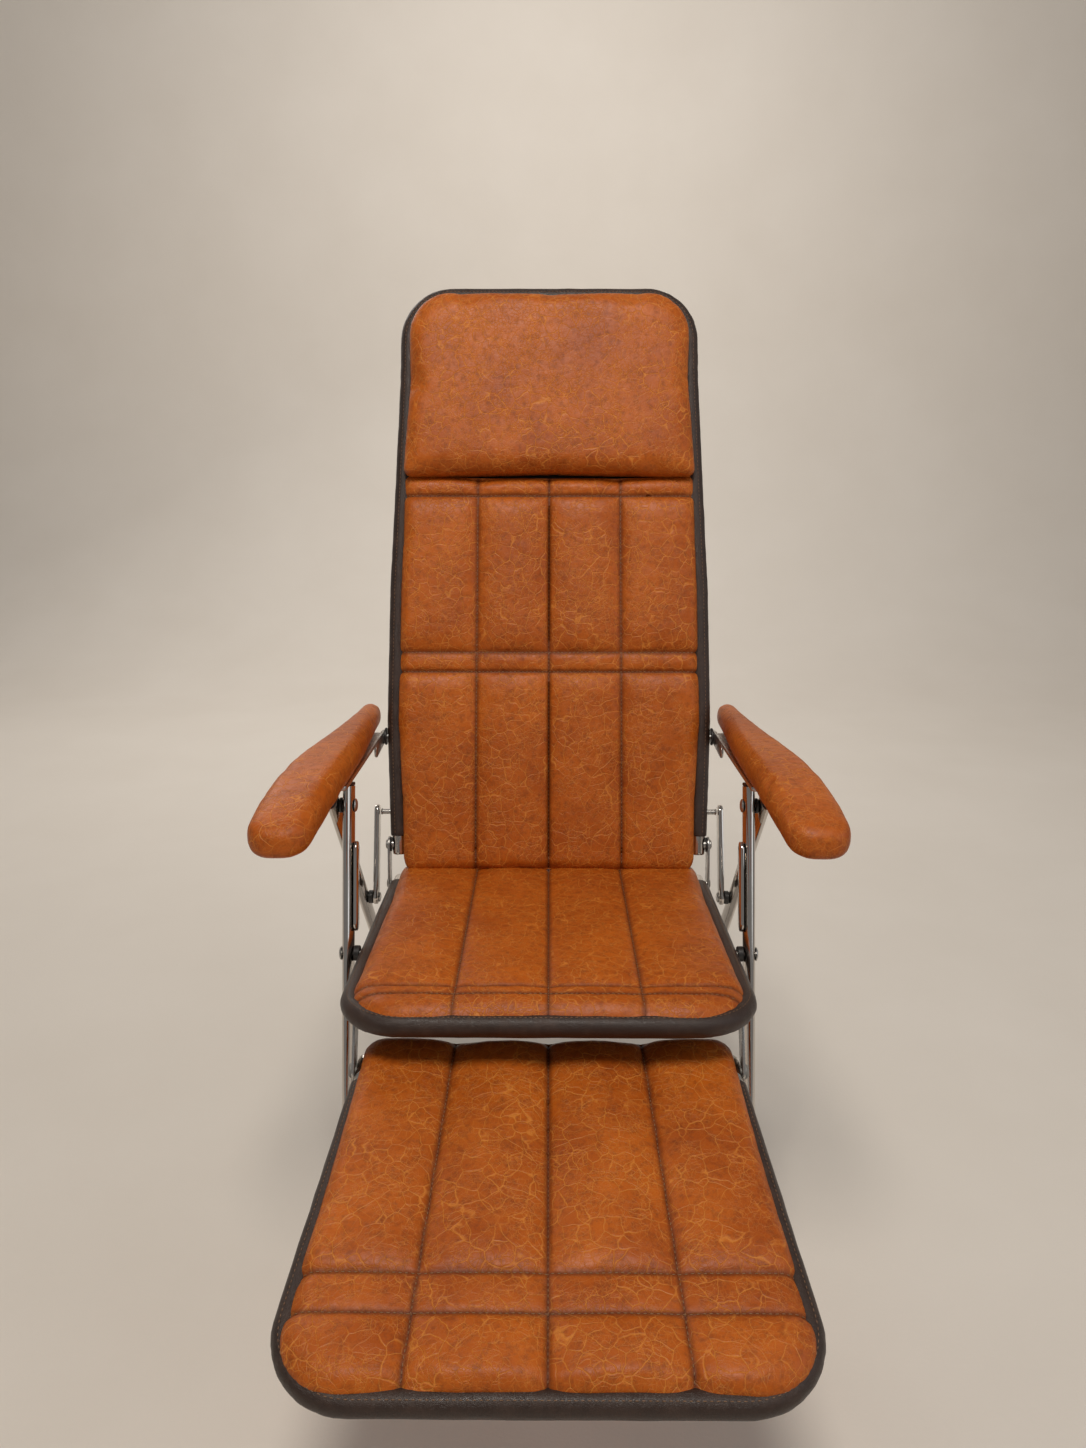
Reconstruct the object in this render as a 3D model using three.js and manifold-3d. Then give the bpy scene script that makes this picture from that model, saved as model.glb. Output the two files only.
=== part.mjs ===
// Folding relax chair with footrest: tubular frame, quilted cushions, padded arms.
// Millimetres. +Z is up, the sitter faces -Y, and +X is to the right of someone facing the chair.

import * as THREE from 'three';
import { mergeVertices } from 'three/examples/jsm/utils/BufferGeometryUtils.js';
import Module from 'manifold-3d';

const wasm = await Module();
wasm.setup();
const { Manifold, Mesh } = wasm;

// ---------------------------------------------------------------- driving sizes

const CLEARANCE = 0.3;          // gap between pieces that touch
const Y_SHIFT = -1.1;           // moves the finished chair over its own base centre

const UNDERARM_HEIGHT = 566;    // height of the bolt that joins front and rear legs
const TOP_BOLT_Y = 38;
const FRONT_LEG_TILT = 16.5;    // degrees from vertical, foot forward
const REAR_LEG_TILT = 40.5;     // degrees from vertical, foot back
const SEAT_TILT = 4;            // degrees, front edge raised
const BACK_TILT = 17;           // degrees from vertical, head back
const ARM_TILT = 4;             // degrees, front end raised
const FOOTREST_TILT = 11;       // degrees, outer end lowered

const SEAT_BOLT_DROP = 173.93;  // top bolt down to the seat pivot, along the front leg
const SEAT_BOLT_FORWARD = 2.71; // seat pivot ahead of the leg's centre line
const SEAT_FRONT_REACH = 180;   // seat pivot to the front cross tube
const SEAT_REAR_REACH = 250;    // seat pivot to the rear tube ends
const SEAT_HALF_FRONT = 211;    // tube centre line, front corners
const SEAT_HALF_REAR = 206;     // tube centre line, rear ends
const SEAT_CORNER = 62;
const HINGE_REACH = 245;        // seat pivot to the back hinge, along the seat
const HINGE_RISE = 54;          // back hinge above the seat's tube plane

const BACK_LENGTH = 760;        // back hinge to the top cross tube
const BACK_HALF_WIDTHS = [[0, 205], [170, 211], [350, 208], [500, 201], [640, 195]];
const BACK_CORNER = 60;
const BACK_FOOT = 14;           // tube end below the back hinge
const PILLOW_FROM = 507;        // head pillow starts here, measured from the hinge
const BACK_PAD_FROM = -12;      // the pad's lower edge hangs in front of the hinge shaft
const BACK_BINDING_FROM = 12;
const ARM_PIVOT_RISE = 149;     // back hinge to the arm pivot, along the back
const LINK_RISE = 45;           // back hinge to the link stud, along the back

const FOOT_HINGE = { along: -152, below: 66 };   // from the seat pivot, in the seat's plane
const FOOTREST_LENGTH = 352;
const FOOTREST_HALF_REAR = 194;
const FOOTREST_HALF_END = 221;
const FOOTREST_CORNER = 62;

const FRAME_RADIUS = 10;        // round tubes inside the upholstered frames
const FOOT_FRAME_RADIUS = 9;
const BINDING_THICKNESS = 1.7;
const PAD_GAP = 0.6;            // pad edge to binding
const SEAT_PAD = { low: -13, high: 26, round: 11 };
const BACK_PAD = { low: -12, high: 22, round: 11 };
const PILLOW = { low: -12, high: 38, round: 17 };
const FOOT_PAD = { low: -9, high: 21, round: 9 };
const BOARD_THICKNESS = 4;
const FOOT_UNDER_PAD_DEPTH = 15;

const FRONT_LEG = { across: 14, along: 30 };
const REAR_LEG = { across: 13, along: 28 };
const SIDE_GAP = 6;             // widest upholstered frame to the front legs
const LEG_GAP = 4;              // front leg to rear leg
const LINK_GAP = 7;             // link bar to rear leg
const LEG_WALL = 2;
const LEG_TOP = 23;             // front leg tube above the top bolt
const REAR_LEG_TOP = 15;
const LEG_CORNER = 55;
const GLIDE_THICKNESS = 3;
const GLIDE_LENGTH = 34;
const GLIDE_X = 150;
const PLUG_THICKNESS = 4;
const PLUG_DEPTH = 9;

const BOLT_RADIUS = 3.5;
const HEAD_RADIUS = 8;
const SMALL_HEAD_RADIUS = 7;
const HEAD_THICKNESS = 3.2;
const FOOT_CAP_THICKNESS = 4.7;
const BOLT_SEAT = 4;            // bolts start this far inside a tube's centre line
const SPACER_RADIUS = 9;
const SHAFT_RADIUS = 6.5;        // rod that carries the back on the seat
const WASHER_WALL = 3.5;
const PLATE_THICKNESS = 3;
const PLATE_HALF_WIDTH = 11;
const FOOT_BRACKET_HALF_WIDTH = 10;
const FOOT_BRACKET_LEAN = 18;   // bracket top behind the foot hinge

const LINK_BAR = { thickness: 7, width: 20 };
const LINK_PIVOT_REACH = 256;   // top bolt to the link pivot, along the rear leg
const STUD_CLEARANCE = 1.2;

const STOP_STRIP = { thickness: 4.4, width: 20, from: 26, to: 132 };

const ARM_BOARD = { low: 4, thickness: 5, from: -16, to: -488, inset: 12 };
const ARM_LUG = { reach: 70, drop: 4, halfWidth: 9 };
const ARM_DISC_RADIUS = 12;
const ARM_PAD_HEIGHT = 38;
const ARM_ROUND = 12;
// outline of an arm pad: [distance from the pivot towards the rear, gap to the back's side, width]
const ARM_OUTLINE = [
  [20, 10, 33], [-60, 7, 38], [-160, 0.5, 49.5], [-270, -2.5, 59.5], [-390, -4, 70], [-490, 1, 69],
];

const TUBE_SIDES = 14;
const OVAL_SIDES = 16;
const BOLT_SIDES = 12;
const CORNER_STEPS = 5;

// ---------------------------------------------------------------- finishes

const finish = (color, roughness, metalness) => new THREE.MeshStandardMaterial({
  color, roughness, metalness,
});
const CHROME = finish(0xc8ccd0, 0.15, 1.0);
const STEEL = finish(0xa9adb1, 0.35, 0.9);
const LEATHER = finish(0xb4622c, 0.45, 0.0);
const BINDING = finish(0x4a2a1c, 0.5, 0.0);
const BLACK_PLASTIC = finish(0x1d1b1a, 0.5, 0.0);
const GREY_PLASTIC = finish(0x6d6a66, 0.55, 0.0);
const BOARD = finish(0x2b2623, 0.8, 0.0);
const RUBBER = finish(0x151515, 0.85, 0.0);

// ---------------------------------------------------------------- helpers

const radians = THREE.MathUtils.degToRad;
const group = new THREE.Group();
const SIDES = [{ name: 'left', sign: -1 }, { name: 'right', sign: 1 }];

/** Adds one named body to the chair. */
function add(name, geometry, material) {
  const mesh = new THREE.Mesh(geometry, material);
  mesh.name = name;
  group.add(mesh);
}

/** A curve whose steps are exactly the given stations, so straight runs stay one step long. */
class StationCurve extends THREE.Curve {
  constructor(stations) {
    super();
    this.stations = stations;
  }

  getPoint(t) {
    return this.stations[Math.round(t * (this.stations.length - 1))].clone();
  }

  getPointAt(u) {
    return this.getPoint(u);
  }

  getTangentAt(u) {
    const last = this.stations.length - 1;
    const index = Math.round(u * last);
    const tangent = new THREE.Vector3();
    for (const start of [index - 1, index]) {
      if (start < 0 || start >= last) continue;
      tangent.add(this.stations[start + 1].clone().sub(this.stations[start]).normalize());
    }
    return tangent.normalize();
  }
}

/** Flat polyline with its corners rounded; each corner is [x, y, radius]. */
function roundedStations(corners) {
  const points = corners.map(([x, y]) => new THREE.Vector3(x, y, 0));
  const stations = [];
  corners.forEach(([, , radius], index) => {
    const here = points[index];
    if (!radius) {
      stations.push(here);
      return;
    }
    const back = points[index - 1].clone().sub(here).normalize();
    const ahead = points[index + 1].clone().sub(here).normalize();
    const half = back.angleTo(ahead) / 2;
    const middle = back.clone().add(ahead).normalize();
    const centre = here.clone().addScaledVector(middle, radius / Math.sin(half));
    const start = here.clone().addScaledVector(back, radius / Math.tan(half)).sub(centre);
    const end = here.clone().addScaledVector(ahead, radius / Math.tan(half)).sub(centre);
    const turn = Math.atan2(start.x * end.y - start.y * end.x, start.dot(end));
    for (let step = 0; step <= CORNER_STEPS; step += 1) {
      const spoke = start.clone().applyAxisAngle(new THREE.Vector3(0, 0, 1), turn * step / CORNER_STEPS);
      stations.push(centre.clone().add(spoke));
    }
  });
  return stations;
}

/** The same run of stations with both ends shortened along their own direction. */
function trimmed(stations, length) {
  const copy = stations.map((station) => station.clone());
  const shorten = (end, next) => end.add(next.clone().sub(end).setLength(length));
  shorten(copy.at(0), copy.at(1));
  shorten(copy.at(-1), copy.at(-2));
  return copy;
}

/** Oval outline, thick (normal to the bend plane) by wide (in it), optionally bored out. */
function ovalShape(thick, wide, wall = 0, sides = OVAL_SIDES) {
  const ring = (inset) => Array.from({ length: sides }, (_, index) => {
    const angle = 2 * Math.PI * (index + 0.5) / sides;
    return new THREE.Vector2((thick / 2 - inset) * Math.cos(angle), (wide / 2 - inset) * Math.sin(angle));
  });
  const shape = new THREE.Shape(ring(0));
  if (wall) shape.holes.push(new THREE.Path(ring(wall)));
  return shape;
}

const roundShape = (radius, wall = 0) => ovalShape(2 * radius, 2 * radius, wall, TUBE_SIDES);

/** Sweeps an outline along flat stations. */
function sweep(stations, shape) {
  const extrudePath = new StationCurve(stations);
  const options = { steps: stations.length - 1, extrudePath, bevelEnabled: false, curveSegments: 1 };
  return new THREE.ExtrudeGeometry(shape, options);
}

/** Rod along X between two faces, centred on y, z. */
function rod(radius, fromX, toX, centre, sides = BOLT_SIDES) {
  const geometry = new THREE.CylinderGeometry(radius, radius, Math.abs(toX - fromX), sides);
  geometry.rotateZ(Math.PI / 2);
  geometry.translate((fromX + toX) / 2, centre.y, centre.z);
  return geometry;
}

/** Domed bolt head along X, flat against fromX. */
function boltHead(radius, fromX, toX, centre) {
  const height = Math.abs(toX - fromX);
  const profile = [[0, 0], [radius, 0], [radius, height * 0.45], [radius * 0.8, height * 0.85], [0, height]];
  const geometry = new THREE.LatheGeometry(profile.map(([x, y]) => new THREE.Vector2(x, y)), BOLT_SIDES);
  geometry.rotateZ(toX > fromX ? -Math.PI / 2 : Math.PI / 2);
  geometry.translate(fromX, centre.y, centre.z);
  return geometry;
}

/** Turns a flat geometry by degrees about X and moves it to origin. */
function place(geometry, degrees, origin) {
  geometry.rotateX(radians(degrees));
  geometry.translate(0, origin.y, origin.z);
  return geometry;
}

/** World point for a point in a tilted plane: along its own Y, then above it. */
function inPlane(degrees, origin, along, above = 0) {
  const angle = radians(degrees);
  return {
    y: origin.y + along * Math.cos(angle) - above * Math.sin(angle),
    z: origin.z + along * Math.sin(angle) + above * Math.cos(angle),
  };
}

function toManifold(geometry) {
  const bare = geometry.clone();
  bare.deleteAttribute('normal');
  bare.deleteAttribute('uv');
  const merged = mergeVertices(bare, 1e-4);
  const triVerts = new Uint32Array(merged.index.array);
  const vertProperties = new Float32Array(merged.attributes.position.array);
  return new Manifold(new Mesh({ numProp: 3, triVerts, vertProperties }));
}

function fromManifold(solid) {
  const mesh = solid.getMesh();
  const geometry = new THREE.BufferGeometry();
  geometry.setAttribute('position', new THREE.BufferAttribute(new Float32Array(mesh.vertProperties), 3));
  geometry.setIndex(new THREE.BufferAttribute(new Uint32Array(mesh.triVerts), 1));
  geometry.computeVertexNormals();
  return geometry;
}

const cut = (geometry, tools) => fromManifold(tools.reduce(
  (solid, tool) => solid.subtract(toManifold(tool)), toManifold(geometry)));
const fuse = (...pieces) => fromManifold(pieces.map(toManifold).reduce((sum, piece) => sum.add(piece)));

/** Closed outline of a flat panel lying inside a U of stations, inset from it. */
function insetOutline(stations, inset) {
  const points = stations.map((station, index) => {
    const tangent = new StationCurve(stations).getTangentAt(index / (stations.length - 1));
    return new THREE.Vector2(station.x + tangent.y * inset, station.y - tangent.x * inset);
  });
  return points;
}

/** Softly rounded slab with the given outline, from low to high. */
function slab(outline, { low, high, round }, bevelSegments = 3) {
  const geometry = new THREE.ExtrudeGeometry(new THREE.Shape(outline), {
    depth: high - low - 2 * round,
    bevelThickness: round,
    bevelSize: round,
    bevelOffset: -round,
    bevelSegments,
    curveSegments: 1,
  });
  geometry.translate(0, 0, low + round);
  return geometry;
}

/** Closed outline with each of its sharp corners replaced by an arc of the given radius. */
function softened(outline, radius) {
  const count = outline.length;
  return outline.flatMap((point, index) => {
    const before = outline[(index + count - 1) % count].clone().sub(point).normalize();
    const after = outline[(index + 1) % count].clone().sub(point).normalize();
    const half = Math.acos(THREE.MathUtils.clamp(before.dot(after), -1, 1)) / 2;
    if (half > radians(72)) return [point.clone()];
    const bisector = before.clone().add(after).normalize();
    const centre = point.clone().addScaledVector(bisector, radius / Math.sin(half));
    const start = point.clone().addScaledVector(before, radius / Math.tan(half)).sub(centre);
    const end = point.clone().addScaledVector(after, radius / Math.tan(half)).sub(centre);
    const turn = Math.atan2(start.cross(end), start.dot(end));
    return Array.from({ length: CORNER_STEPS }, (_, step) => start.clone().rotateAround(
      new THREE.Vector2(), turn * step / (CORNER_STEPS - 1)).add(centre));
  });
}

// ---------------------------------------------------------------- positions tied together

const topBolt = { y: TOP_BOLT_Y, z: UNDERARM_HEIGHT };
const frontPlane = 90 - FRONT_LEG_TILT;
const rearPlane = 90 + REAR_LEG_TILT;
const backPlane = 90 - BACK_TILT;
const seatPivot = inPlane(frontPlane, topBolt, -SEAT_BOLT_DROP, SEAT_BOLT_FORWARD);
const backHinge = inPlane(-SEAT_TILT, seatPivot, HINGE_REACH, HINGE_RISE);
const armPivot = inPlane(backPlane, backHinge, ARM_PIVOT_RISE);
const linkStud = inPlane(backPlane, backHinge, LINK_RISE);
const linkPivot = inPlane(rearPlane, topBolt, -LINK_PIVOT_REACH);
const footHinge = inPlane(-SEAT_TILT, seatPivot, FOOT_HINGE.along, -FOOT_HINGE.below);
const bindingRadius = (radius) => radius + CLEARANCE + BINDING_THICKNESS;
const holeRadius = (radius) => radius + CLEARANCE;

// faces of what lies side by side, outwards from the middle of the chair
const widestHalf = Math.max(SEAT_HALF_FRONT, SEAT_HALF_REAR, ...BACK_HALF_WIDTHS.map(([, half]) => half));
const sideFace = widestHalf + bindingRadius(FRAME_RADIUS);
const frontInner = sideFace + SIDE_GAP;
const frontOuter = frontInner + FRONT_LEG.across;
const rearInner = frontOuter + LEG_GAP;
const rearOuter = rearInner + REAR_LEG.across;
const barOuter = rearInner - LINK_GAP;
const barInner = barOuter - LINK_BAR.thickness;
const frontLeg = { ...FRONT_LEG, x: (frontInner + frontOuter) / 2 };
const rearLeg = { ...REAR_LEG, x: (rearInner + rearOuter) / 2 };

// ---------------------------------------------------------------- leg frames

/** Depth of a glide below the centre of a leg frame's floor tube. */
function glideReach(leg, tilt) {
  const inPlaneHalf = leg.across / 2 + CLEARANCE + GLIDE_THICKNESS;
  const normalHalf = leg.along / 2 + CLEARANCE + GLIDE_THICKNESS;
  return Math.hypot(inPlaneHalf * Math.cos(radians(tilt)), normalHalf * Math.sin(radians(tilt)));
}

/** Inverted arch of oval tube standing on two glides, drilled for its bolts. */
function legFrame(prefix, leg, tilt, plane, top, boltPoints) {
  const fall = (UNDERARM_HEIGHT - glideReach(leg, tilt)) / Math.cos(radians(tilt));
  const stations = roundedStations([
    [-leg.x, top, 0], [-leg.x, -fall, LEG_CORNER], [leg.x, -fall, LEG_CORNER], [leg.x, top, 0],
  ]);
  const tube = place(sweep(stations, ovalShape(leg.along, leg.across, LEG_WALL)), plane, topBolt);
  const reach = leg.x + leg.across;
  const drills = boltPoints.map((point) => rod(holeRadius(BOLT_RADIUS), -reach, reach, point));
  add(`${prefix}_leg_frame`, cut(tube, drills), CHROME);
  for (const { name, sign } of SIDES) {
    const grown = (size) => size + 2 * (CLEARANCE + GLIDE_THICKNESS);
    const span = [-1, 1].map((end) => new THREE.Vector3(sign * GLIDE_X + end * GLIDE_LENGTH / 2, -fall, 0));
    const glide = sweep(span, ovalShape(grown(leg.along), grown(leg.across), GLIDE_THICKNESS));
    add(`${prefix}_glide_${name}`, place(glide, plane, topBolt), RUBBER);
  }
}

legFrame('front', frontLeg, FRONT_LEG_TILT, frontPlane, LEG_TOP, [topBolt, seatPivot]);
legFrame('rear', rearLeg, REAR_LEG_TILT, rearPlane, REAR_LEG_TOP, [topBolt, linkPivot]);

/** Flat cap with a stem that fills the open end of a leg tube. */
function legPlug(leg, sign, top) {
  const at = (along) => new THREE.Vector3(sign * leg.x, along, 0);
  const bore = LEG_WALL + CLEARANCE;
  const capFrom = top + CLEARANCE;
  const stem = sweep([at(top - PLUG_DEPTH), at(capFrom + 0.5)],
    ovalShape(leg.along - 2 * bore, leg.across - 2 * bore));
  const cap = sweep([at(capFrom), at(capFrom + PLUG_THICKNESS)], ovalShape(leg.along, leg.across));
  return fuse(stem, cap);
}

for (const { name, sign } of SIDES) {
  const frontPlug = place(legPlug(frontLeg, sign, LEG_TOP), frontPlane, topBolt);
  const rearPlug = place(legPlug(rearLeg, sign, REAR_LEG_TOP), rearPlane, topBolt);
  add(`front_leg_plug_${name}`, frontPlug, BLACK_PLASTIC);
  add(`rear_leg_plug_${name}`, rearPlug, BLACK_PLASTIC);

  // top bolt: head inside, nut outside, dark spacer between the two legs
  const headFace = frontInner - CLEARANCE;
  const nutFace = rearOuter + CLEARANCE;
  const topShank = rod(BOLT_RADIUS, sign * (headFace - 1), sign * (nutFace + 1), topBolt);
  const topHead = boltHead(HEAD_RADIUS, sign * headFace, sign * (headFace - HEAD_THICKNESS), topBolt);
  const topNut = boltHead(HEAD_RADIUS, sign * nutFace, sign * (nutFace + HEAD_THICKNESS), topBolt);
  add(`top_bolt_${name}`, fuse(topShank, topHead, topNut), STEEL);
  const spacer = rod(SPACER_RADIUS, sign * (frontOuter + CLEARANCE), sign * (rearInner - CLEARANCE), topBolt);
  const drill = rod(holeRadius(BOLT_RADIUS), sign * (frontOuter - 1), sign * (rearInner + 1), topBolt);
  add(`top_spacer_${name}`, cut(spacer, [drill]), BLACK_PLASTIC);

  // stop strip riveted inside the front leg
  const strip = sweep([STOP_STRIP.from, STOP_STRIP.to].map((along) => new THREE.Vector3(
    sign * (frontInner - CLEARANCE - STOP_STRIP.thickness / 2), along, 0)),
    ovalShape(STOP_STRIP.width, STOP_STRIP.thickness));
  add(`stop_strip_${name}`, place(strip, frontPlane, seatPivot), CHROME);
}

// ---------------------------------------------------------------- seat

const BINDING_BACKSET = 28;     // frame tube left bare behind the seat binding
const seatOuter = (half) => half + bindingRadius(FRAME_RADIUS);
const seatHalfAt = (along) => THREE.MathUtils.mapLinear(
  along, -SEAT_FRONT_REACH, SEAT_REAR_REACH, SEAT_HALF_FRONT, SEAT_HALF_REAR);
const seatStations = roundedStations([
  [-SEAT_HALF_REAR, SEAT_REAR_REACH, 0],
  [-SEAT_HALF_FRONT, -SEAT_FRONT_REACH, SEAT_CORNER],
  [SEAT_HALF_FRONT, -SEAT_FRONT_REACH, SEAT_CORNER],
  [SEAT_HALF_REAR, SEAT_REAR_REACH, 0],
]);
const seatBindingStations = trimmed(seatStations, BINDING_BACKSET);

const plateInner = seatOuter(SEAT_HALF_REAR) + CLEARANCE;
const plateOuter = plateInner + PLATE_THICKNESS;
const seatPivotDrill = rod(holeRadius(BOLT_RADIUS), -SEAT_HALF_FRONT * 2, SEAT_HALF_FRONT * 2, seatPivot);
const plateScrew = inPlane(-SEAT_TILT, seatPivot, SEAT_REAR_REACH - 12);

add('seat_frame', cut(
  place(sweep(seatStations, roundShape(FRAME_RADIUS)), -SEAT_TILT, seatPivot),
  [seatPivotDrill, rod(holeRadius(BOLT_RADIUS), -SEAT_HALF_FRONT * 2, SEAT_HALF_FRONT * 2, plateScrew)],
), CHROME);
add('seat_binding', cut(
  place(sweep(seatBindingStations, roundShape(bindingRadius(FRAME_RADIUS), BINDING_THICKNESS)),
    -SEAT_TILT, seatPivot),
  [seatPivotDrill],
), BINDING);

const seatPadInset = bindingRadius(FRAME_RADIUS) + PAD_GAP;
const seatPadEdge = insetOutline(seatStations, -seatPadInset);
add('seat_pad', place(slab(softened(seatPadEdge, 18), SEAT_PAD), -SEAT_TILT, seatPivot), LEATHER);
const seatBoardEdge = insetOutline(seatStations, -seatPadInset - 6);
add('seat_board', place(slab(softened(seatBoardEdge, 14), {
  low: SEAT_PAD.low - CLEARANCE - BOARD_THICKNESS, high: SEAT_PAD.low - CLEARANCE, round: 0.8,
}, 1), -SEAT_TILT, seatPivot), BOARD);

/** Flat steel plate in the seat's side plane, a strip with round ends between two points. */
function strap(fromX, toX, start, end, halfWidth, drills) {
  const run = new THREE.Vector2(end.y - start.y, end.z - start.z);
  const angle = run.angle();
  const outline = [];
  for (let step = 0; step <= 8; step += 1) {
    const turn = Math.PI * (step / 8 - 0.5);
    outline.push(new THREE.Vector2(run.length() + halfWidth * Math.cos(turn), halfWidth * Math.sin(turn)));
  }
  for (let step = 0; step <= 8; step += 1) {
    const turn = Math.PI * (step / 8 + 0.5);
    outline.push(new THREE.Vector2(halfWidth * Math.cos(turn), halfWidth * Math.sin(turn)));
  }
  const low = Math.min(fromX, toX);
  const geometry = new THREE.ExtrudeGeometry(new THREE.Shape(outline), {
    depth: Math.abs(toX - fromX), bevelEnabled: false,
  });
  geometry.rotateZ(angle);
  geometry.applyMatrix4(new THREE.Matrix4().makeBasis(
    new THREE.Vector3(0, 1, 0), new THREE.Vector3(0, 0, 1), new THREE.Vector3(1, 0, 0)));
  geometry.translate(low, start.y, start.z);
  return drills.length ? cut(geometry, drills) : geometry;
}

for (const { name, sign } of SIDES) {
  const outward = (x) => sign * x;

  // seat pivot bolt: domed head outside the front leg, dark spacer between leg and seat
  const half = seatHalfAt(0);
  const shank = rod(BOLT_RADIUS, outward(half - BOLT_SEAT), outward(frontOuter + 1), seatPivot);
  const headFace = frontOuter + CLEARANCE;
  const head = boltHead(HEAD_RADIUS, outward(headFace), outward(headFace + HEAD_THICKNESS), seatPivot);
  add(`seat_bolt_${name}`, fuse(shank, head), STEEL);
  const spacerFrom = seatOuter(half) + 2 * CLEARANCE;
  const spacer = rod(SPACER_RADIUS, outward(spacerFrom), outward(frontInner - CLEARANCE), seatPivot);
  const drill = rod(holeRadius(BOLT_RADIUS), outward(spacerFrom - 2), outward(frontInner + 1), seatPivot);
  add(`seat_spacer_${name}`, cut(spacer, [drill]), BLACK_PLASTIC);

  // hinge plate from the seat tube's rear end up to the back hinge
  const plateDrills = [
    rod(holeRadius(SHAFT_RADIUS), outward(plateInner - 2), outward(plateOuter + 2), backHinge),
    rod(holeRadius(BOLT_RADIUS), outward(plateInner - 2), outward(plateOuter + 2), plateScrew),
  ];
  add(`hinge_plate_${name}`, strap(
    outward(plateInner), outward(plateOuter), plateScrew, backHinge, PLATE_HALF_WIDTH, plateDrills), STEEL);
  const screwFace = plateOuter + CLEARANCE;
  const screwShank = rod(
    BOLT_RADIUS, outward(SEAT_HALF_REAR - BOLT_SEAT), outward(screwFace + 1), plateScrew);
  const screwHead = boltHead(
    SMALL_HEAD_RADIUS, outward(screwFace), outward(screwFace + HEAD_THICKNESS), plateScrew);
  add(`plate_screw_${name}`, fuse(screwShank, screwHead), STEEL);

  // footrest bracket hanging under the seat's front corner, with its capped hinge bolt
  const bracketInner = FOOTREST_HALF_REAR + FOOT_FRAME_RADIUS + 2 * CLEARANCE;
  const bracketOuter = bracketInner + PLATE_THICKNESS;
  const bracketTop = inPlane(-SEAT_TILT, seatPivot, FOOT_HINGE.along + FOOT_BRACKET_LEAN,
    -bindingRadius(FRAME_RADIUS) - FOOT_BRACKET_HALF_WIDTH - PAD_GAP);
  const hingeDrill = rod(
    holeRadius(BOLT_RADIUS), outward(bracketInner - 2), outward(bracketOuter + 2), footHinge);
  const bracket = strap(
    outward(bracketInner), outward(bracketOuter), footHinge, bracketTop,
    FOOT_BRACKET_HALF_WIDTH, [hingeDrill]);
  add(`foot_bracket_${name}`, bracket, STEEL);
  const capFace = bracketOuter + CLEARANCE;
  const footShank = rod(
    BOLT_RADIUS, outward(FOOTREST_HALF_REAR - BOLT_SEAT), outward(capFace + 1), footHinge);
  const footCap = boltHead(
    HEAD_RADIUS, outward(capFace), outward(capFace + FOOT_CAP_THICKNESS), footHinge);
  add(`foot_bolt_${name}`, fuse(footShank, footCap), GREY_PLASTIC);
}

// ---------------------------------------------------------------- footrest

const footStations = roundedStations([
  [-FOOTREST_HALF_REAR, 16, 0],
  [-FOOTREST_HALF_REAR, -16, 0],
  [-FOOTREST_HALF_END, -FOOTREST_LENGTH, FOOTREST_CORNER],
  [FOOTREST_HALF_END, -FOOTREST_LENGTH, FOOTREST_CORNER],
  [FOOTREST_HALF_REAR, -16, 0],
  [FOOTREST_HALF_REAR, 16, 0],
]);
const footBindingStations = trimmed(footStations.slice(1, -1), 6);
const footHingeDrill = rod(
  holeRadius(BOLT_RADIUS), -FOOTREST_HALF_END * 1.5, FOOTREST_HALF_END * 1.5, footHinge);
add('footrest_frame', cut(
  place(sweep(footStations, roundShape(FOOT_FRAME_RADIUS)), FOOTREST_TILT, footHinge), [footHingeDrill],
), CHROME);
add('footrest_binding', place(
  sweep(footBindingStations, roundShape(bindingRadius(FOOT_FRAME_RADIUS), BINDING_THICKNESS)),
  FOOTREST_TILT, footHinge), BINDING);
const footPadInset = bindingRadius(FOOT_FRAME_RADIUS) + PAD_GAP;
const footPadEdge = insetOutline(footStations.slice(1, -1), -footPadInset);
add('footrest_pad', place(slab(softened(footPadEdge, 18), FOOT_PAD), FOOTREST_TILT, footHinge), LEATHER);
add('footrest_under_pad', place(slab(softened(footPadEdge, 18), {
  low: FOOT_PAD.low - CLEARANCE - FOOT_UNDER_PAD_DEPTH, high: FOOT_PAD.low - CLEARANCE, round: 7,
}), FOOTREST_TILT, footHinge), LEATHER);

// ---------------------------------------------------------------- back

const backSide = (sign) => BACK_HALF_WIDTHS.map(([along, half]) => [sign * half, along, 0]);
const topHalf = BACK_HALF_WIDTHS.at(-1)[1] - 2;
const backStations = roundedStations([
  [-BACK_HALF_WIDTHS[0][1], -BACK_FOOT, 0],
  ...backSide(-1).slice(1),
  [-topHalf, BACK_LENGTH, BACK_CORNER],
  [topHalf, BACK_LENGTH, BACK_CORNER],
  ...backSide(1).slice(1).reverse(),
  [BACK_HALF_WIDTHS[0][1], -BACK_FOOT, 0],
]);
const backBindingStations = trimmed(backStations, BACK_FOOT + BACK_BINDING_FROM);
const wideDrill = (radius, point) => rod(holeRadius(radius), -400, 400, point);
const sideDrills = (radius, point, innerX) => SIDES.map(({ sign }) => rod(
  holeRadius(radius), sign * innerX, sign * (innerX + 60), point));
const backHalfAt = (along) => {
  const above = BACK_HALF_WIDTHS.findIndex(([place]) => place >= along);
  const [low, high] = [BACK_HALF_WIDTHS[above - 1], BACK_HALF_WIDTHS[above]];
  return THREE.MathUtils.mapLinear(along, low[0], high[0], low[1], high[1]);
};
const armBoltFrom = backHalfAt(ARM_PIVOT_RISE) - BOLT_SEAT;
const studFrom = backHalfAt(LINK_RISE) - BOLT_SEAT;
const armBoltDrills = sideDrills(BOLT_RADIUS, armPivot, armBoltFrom - 3);
const studDrills = sideDrills(BOLT_RADIUS, linkStud, studFrom - 3);

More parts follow.
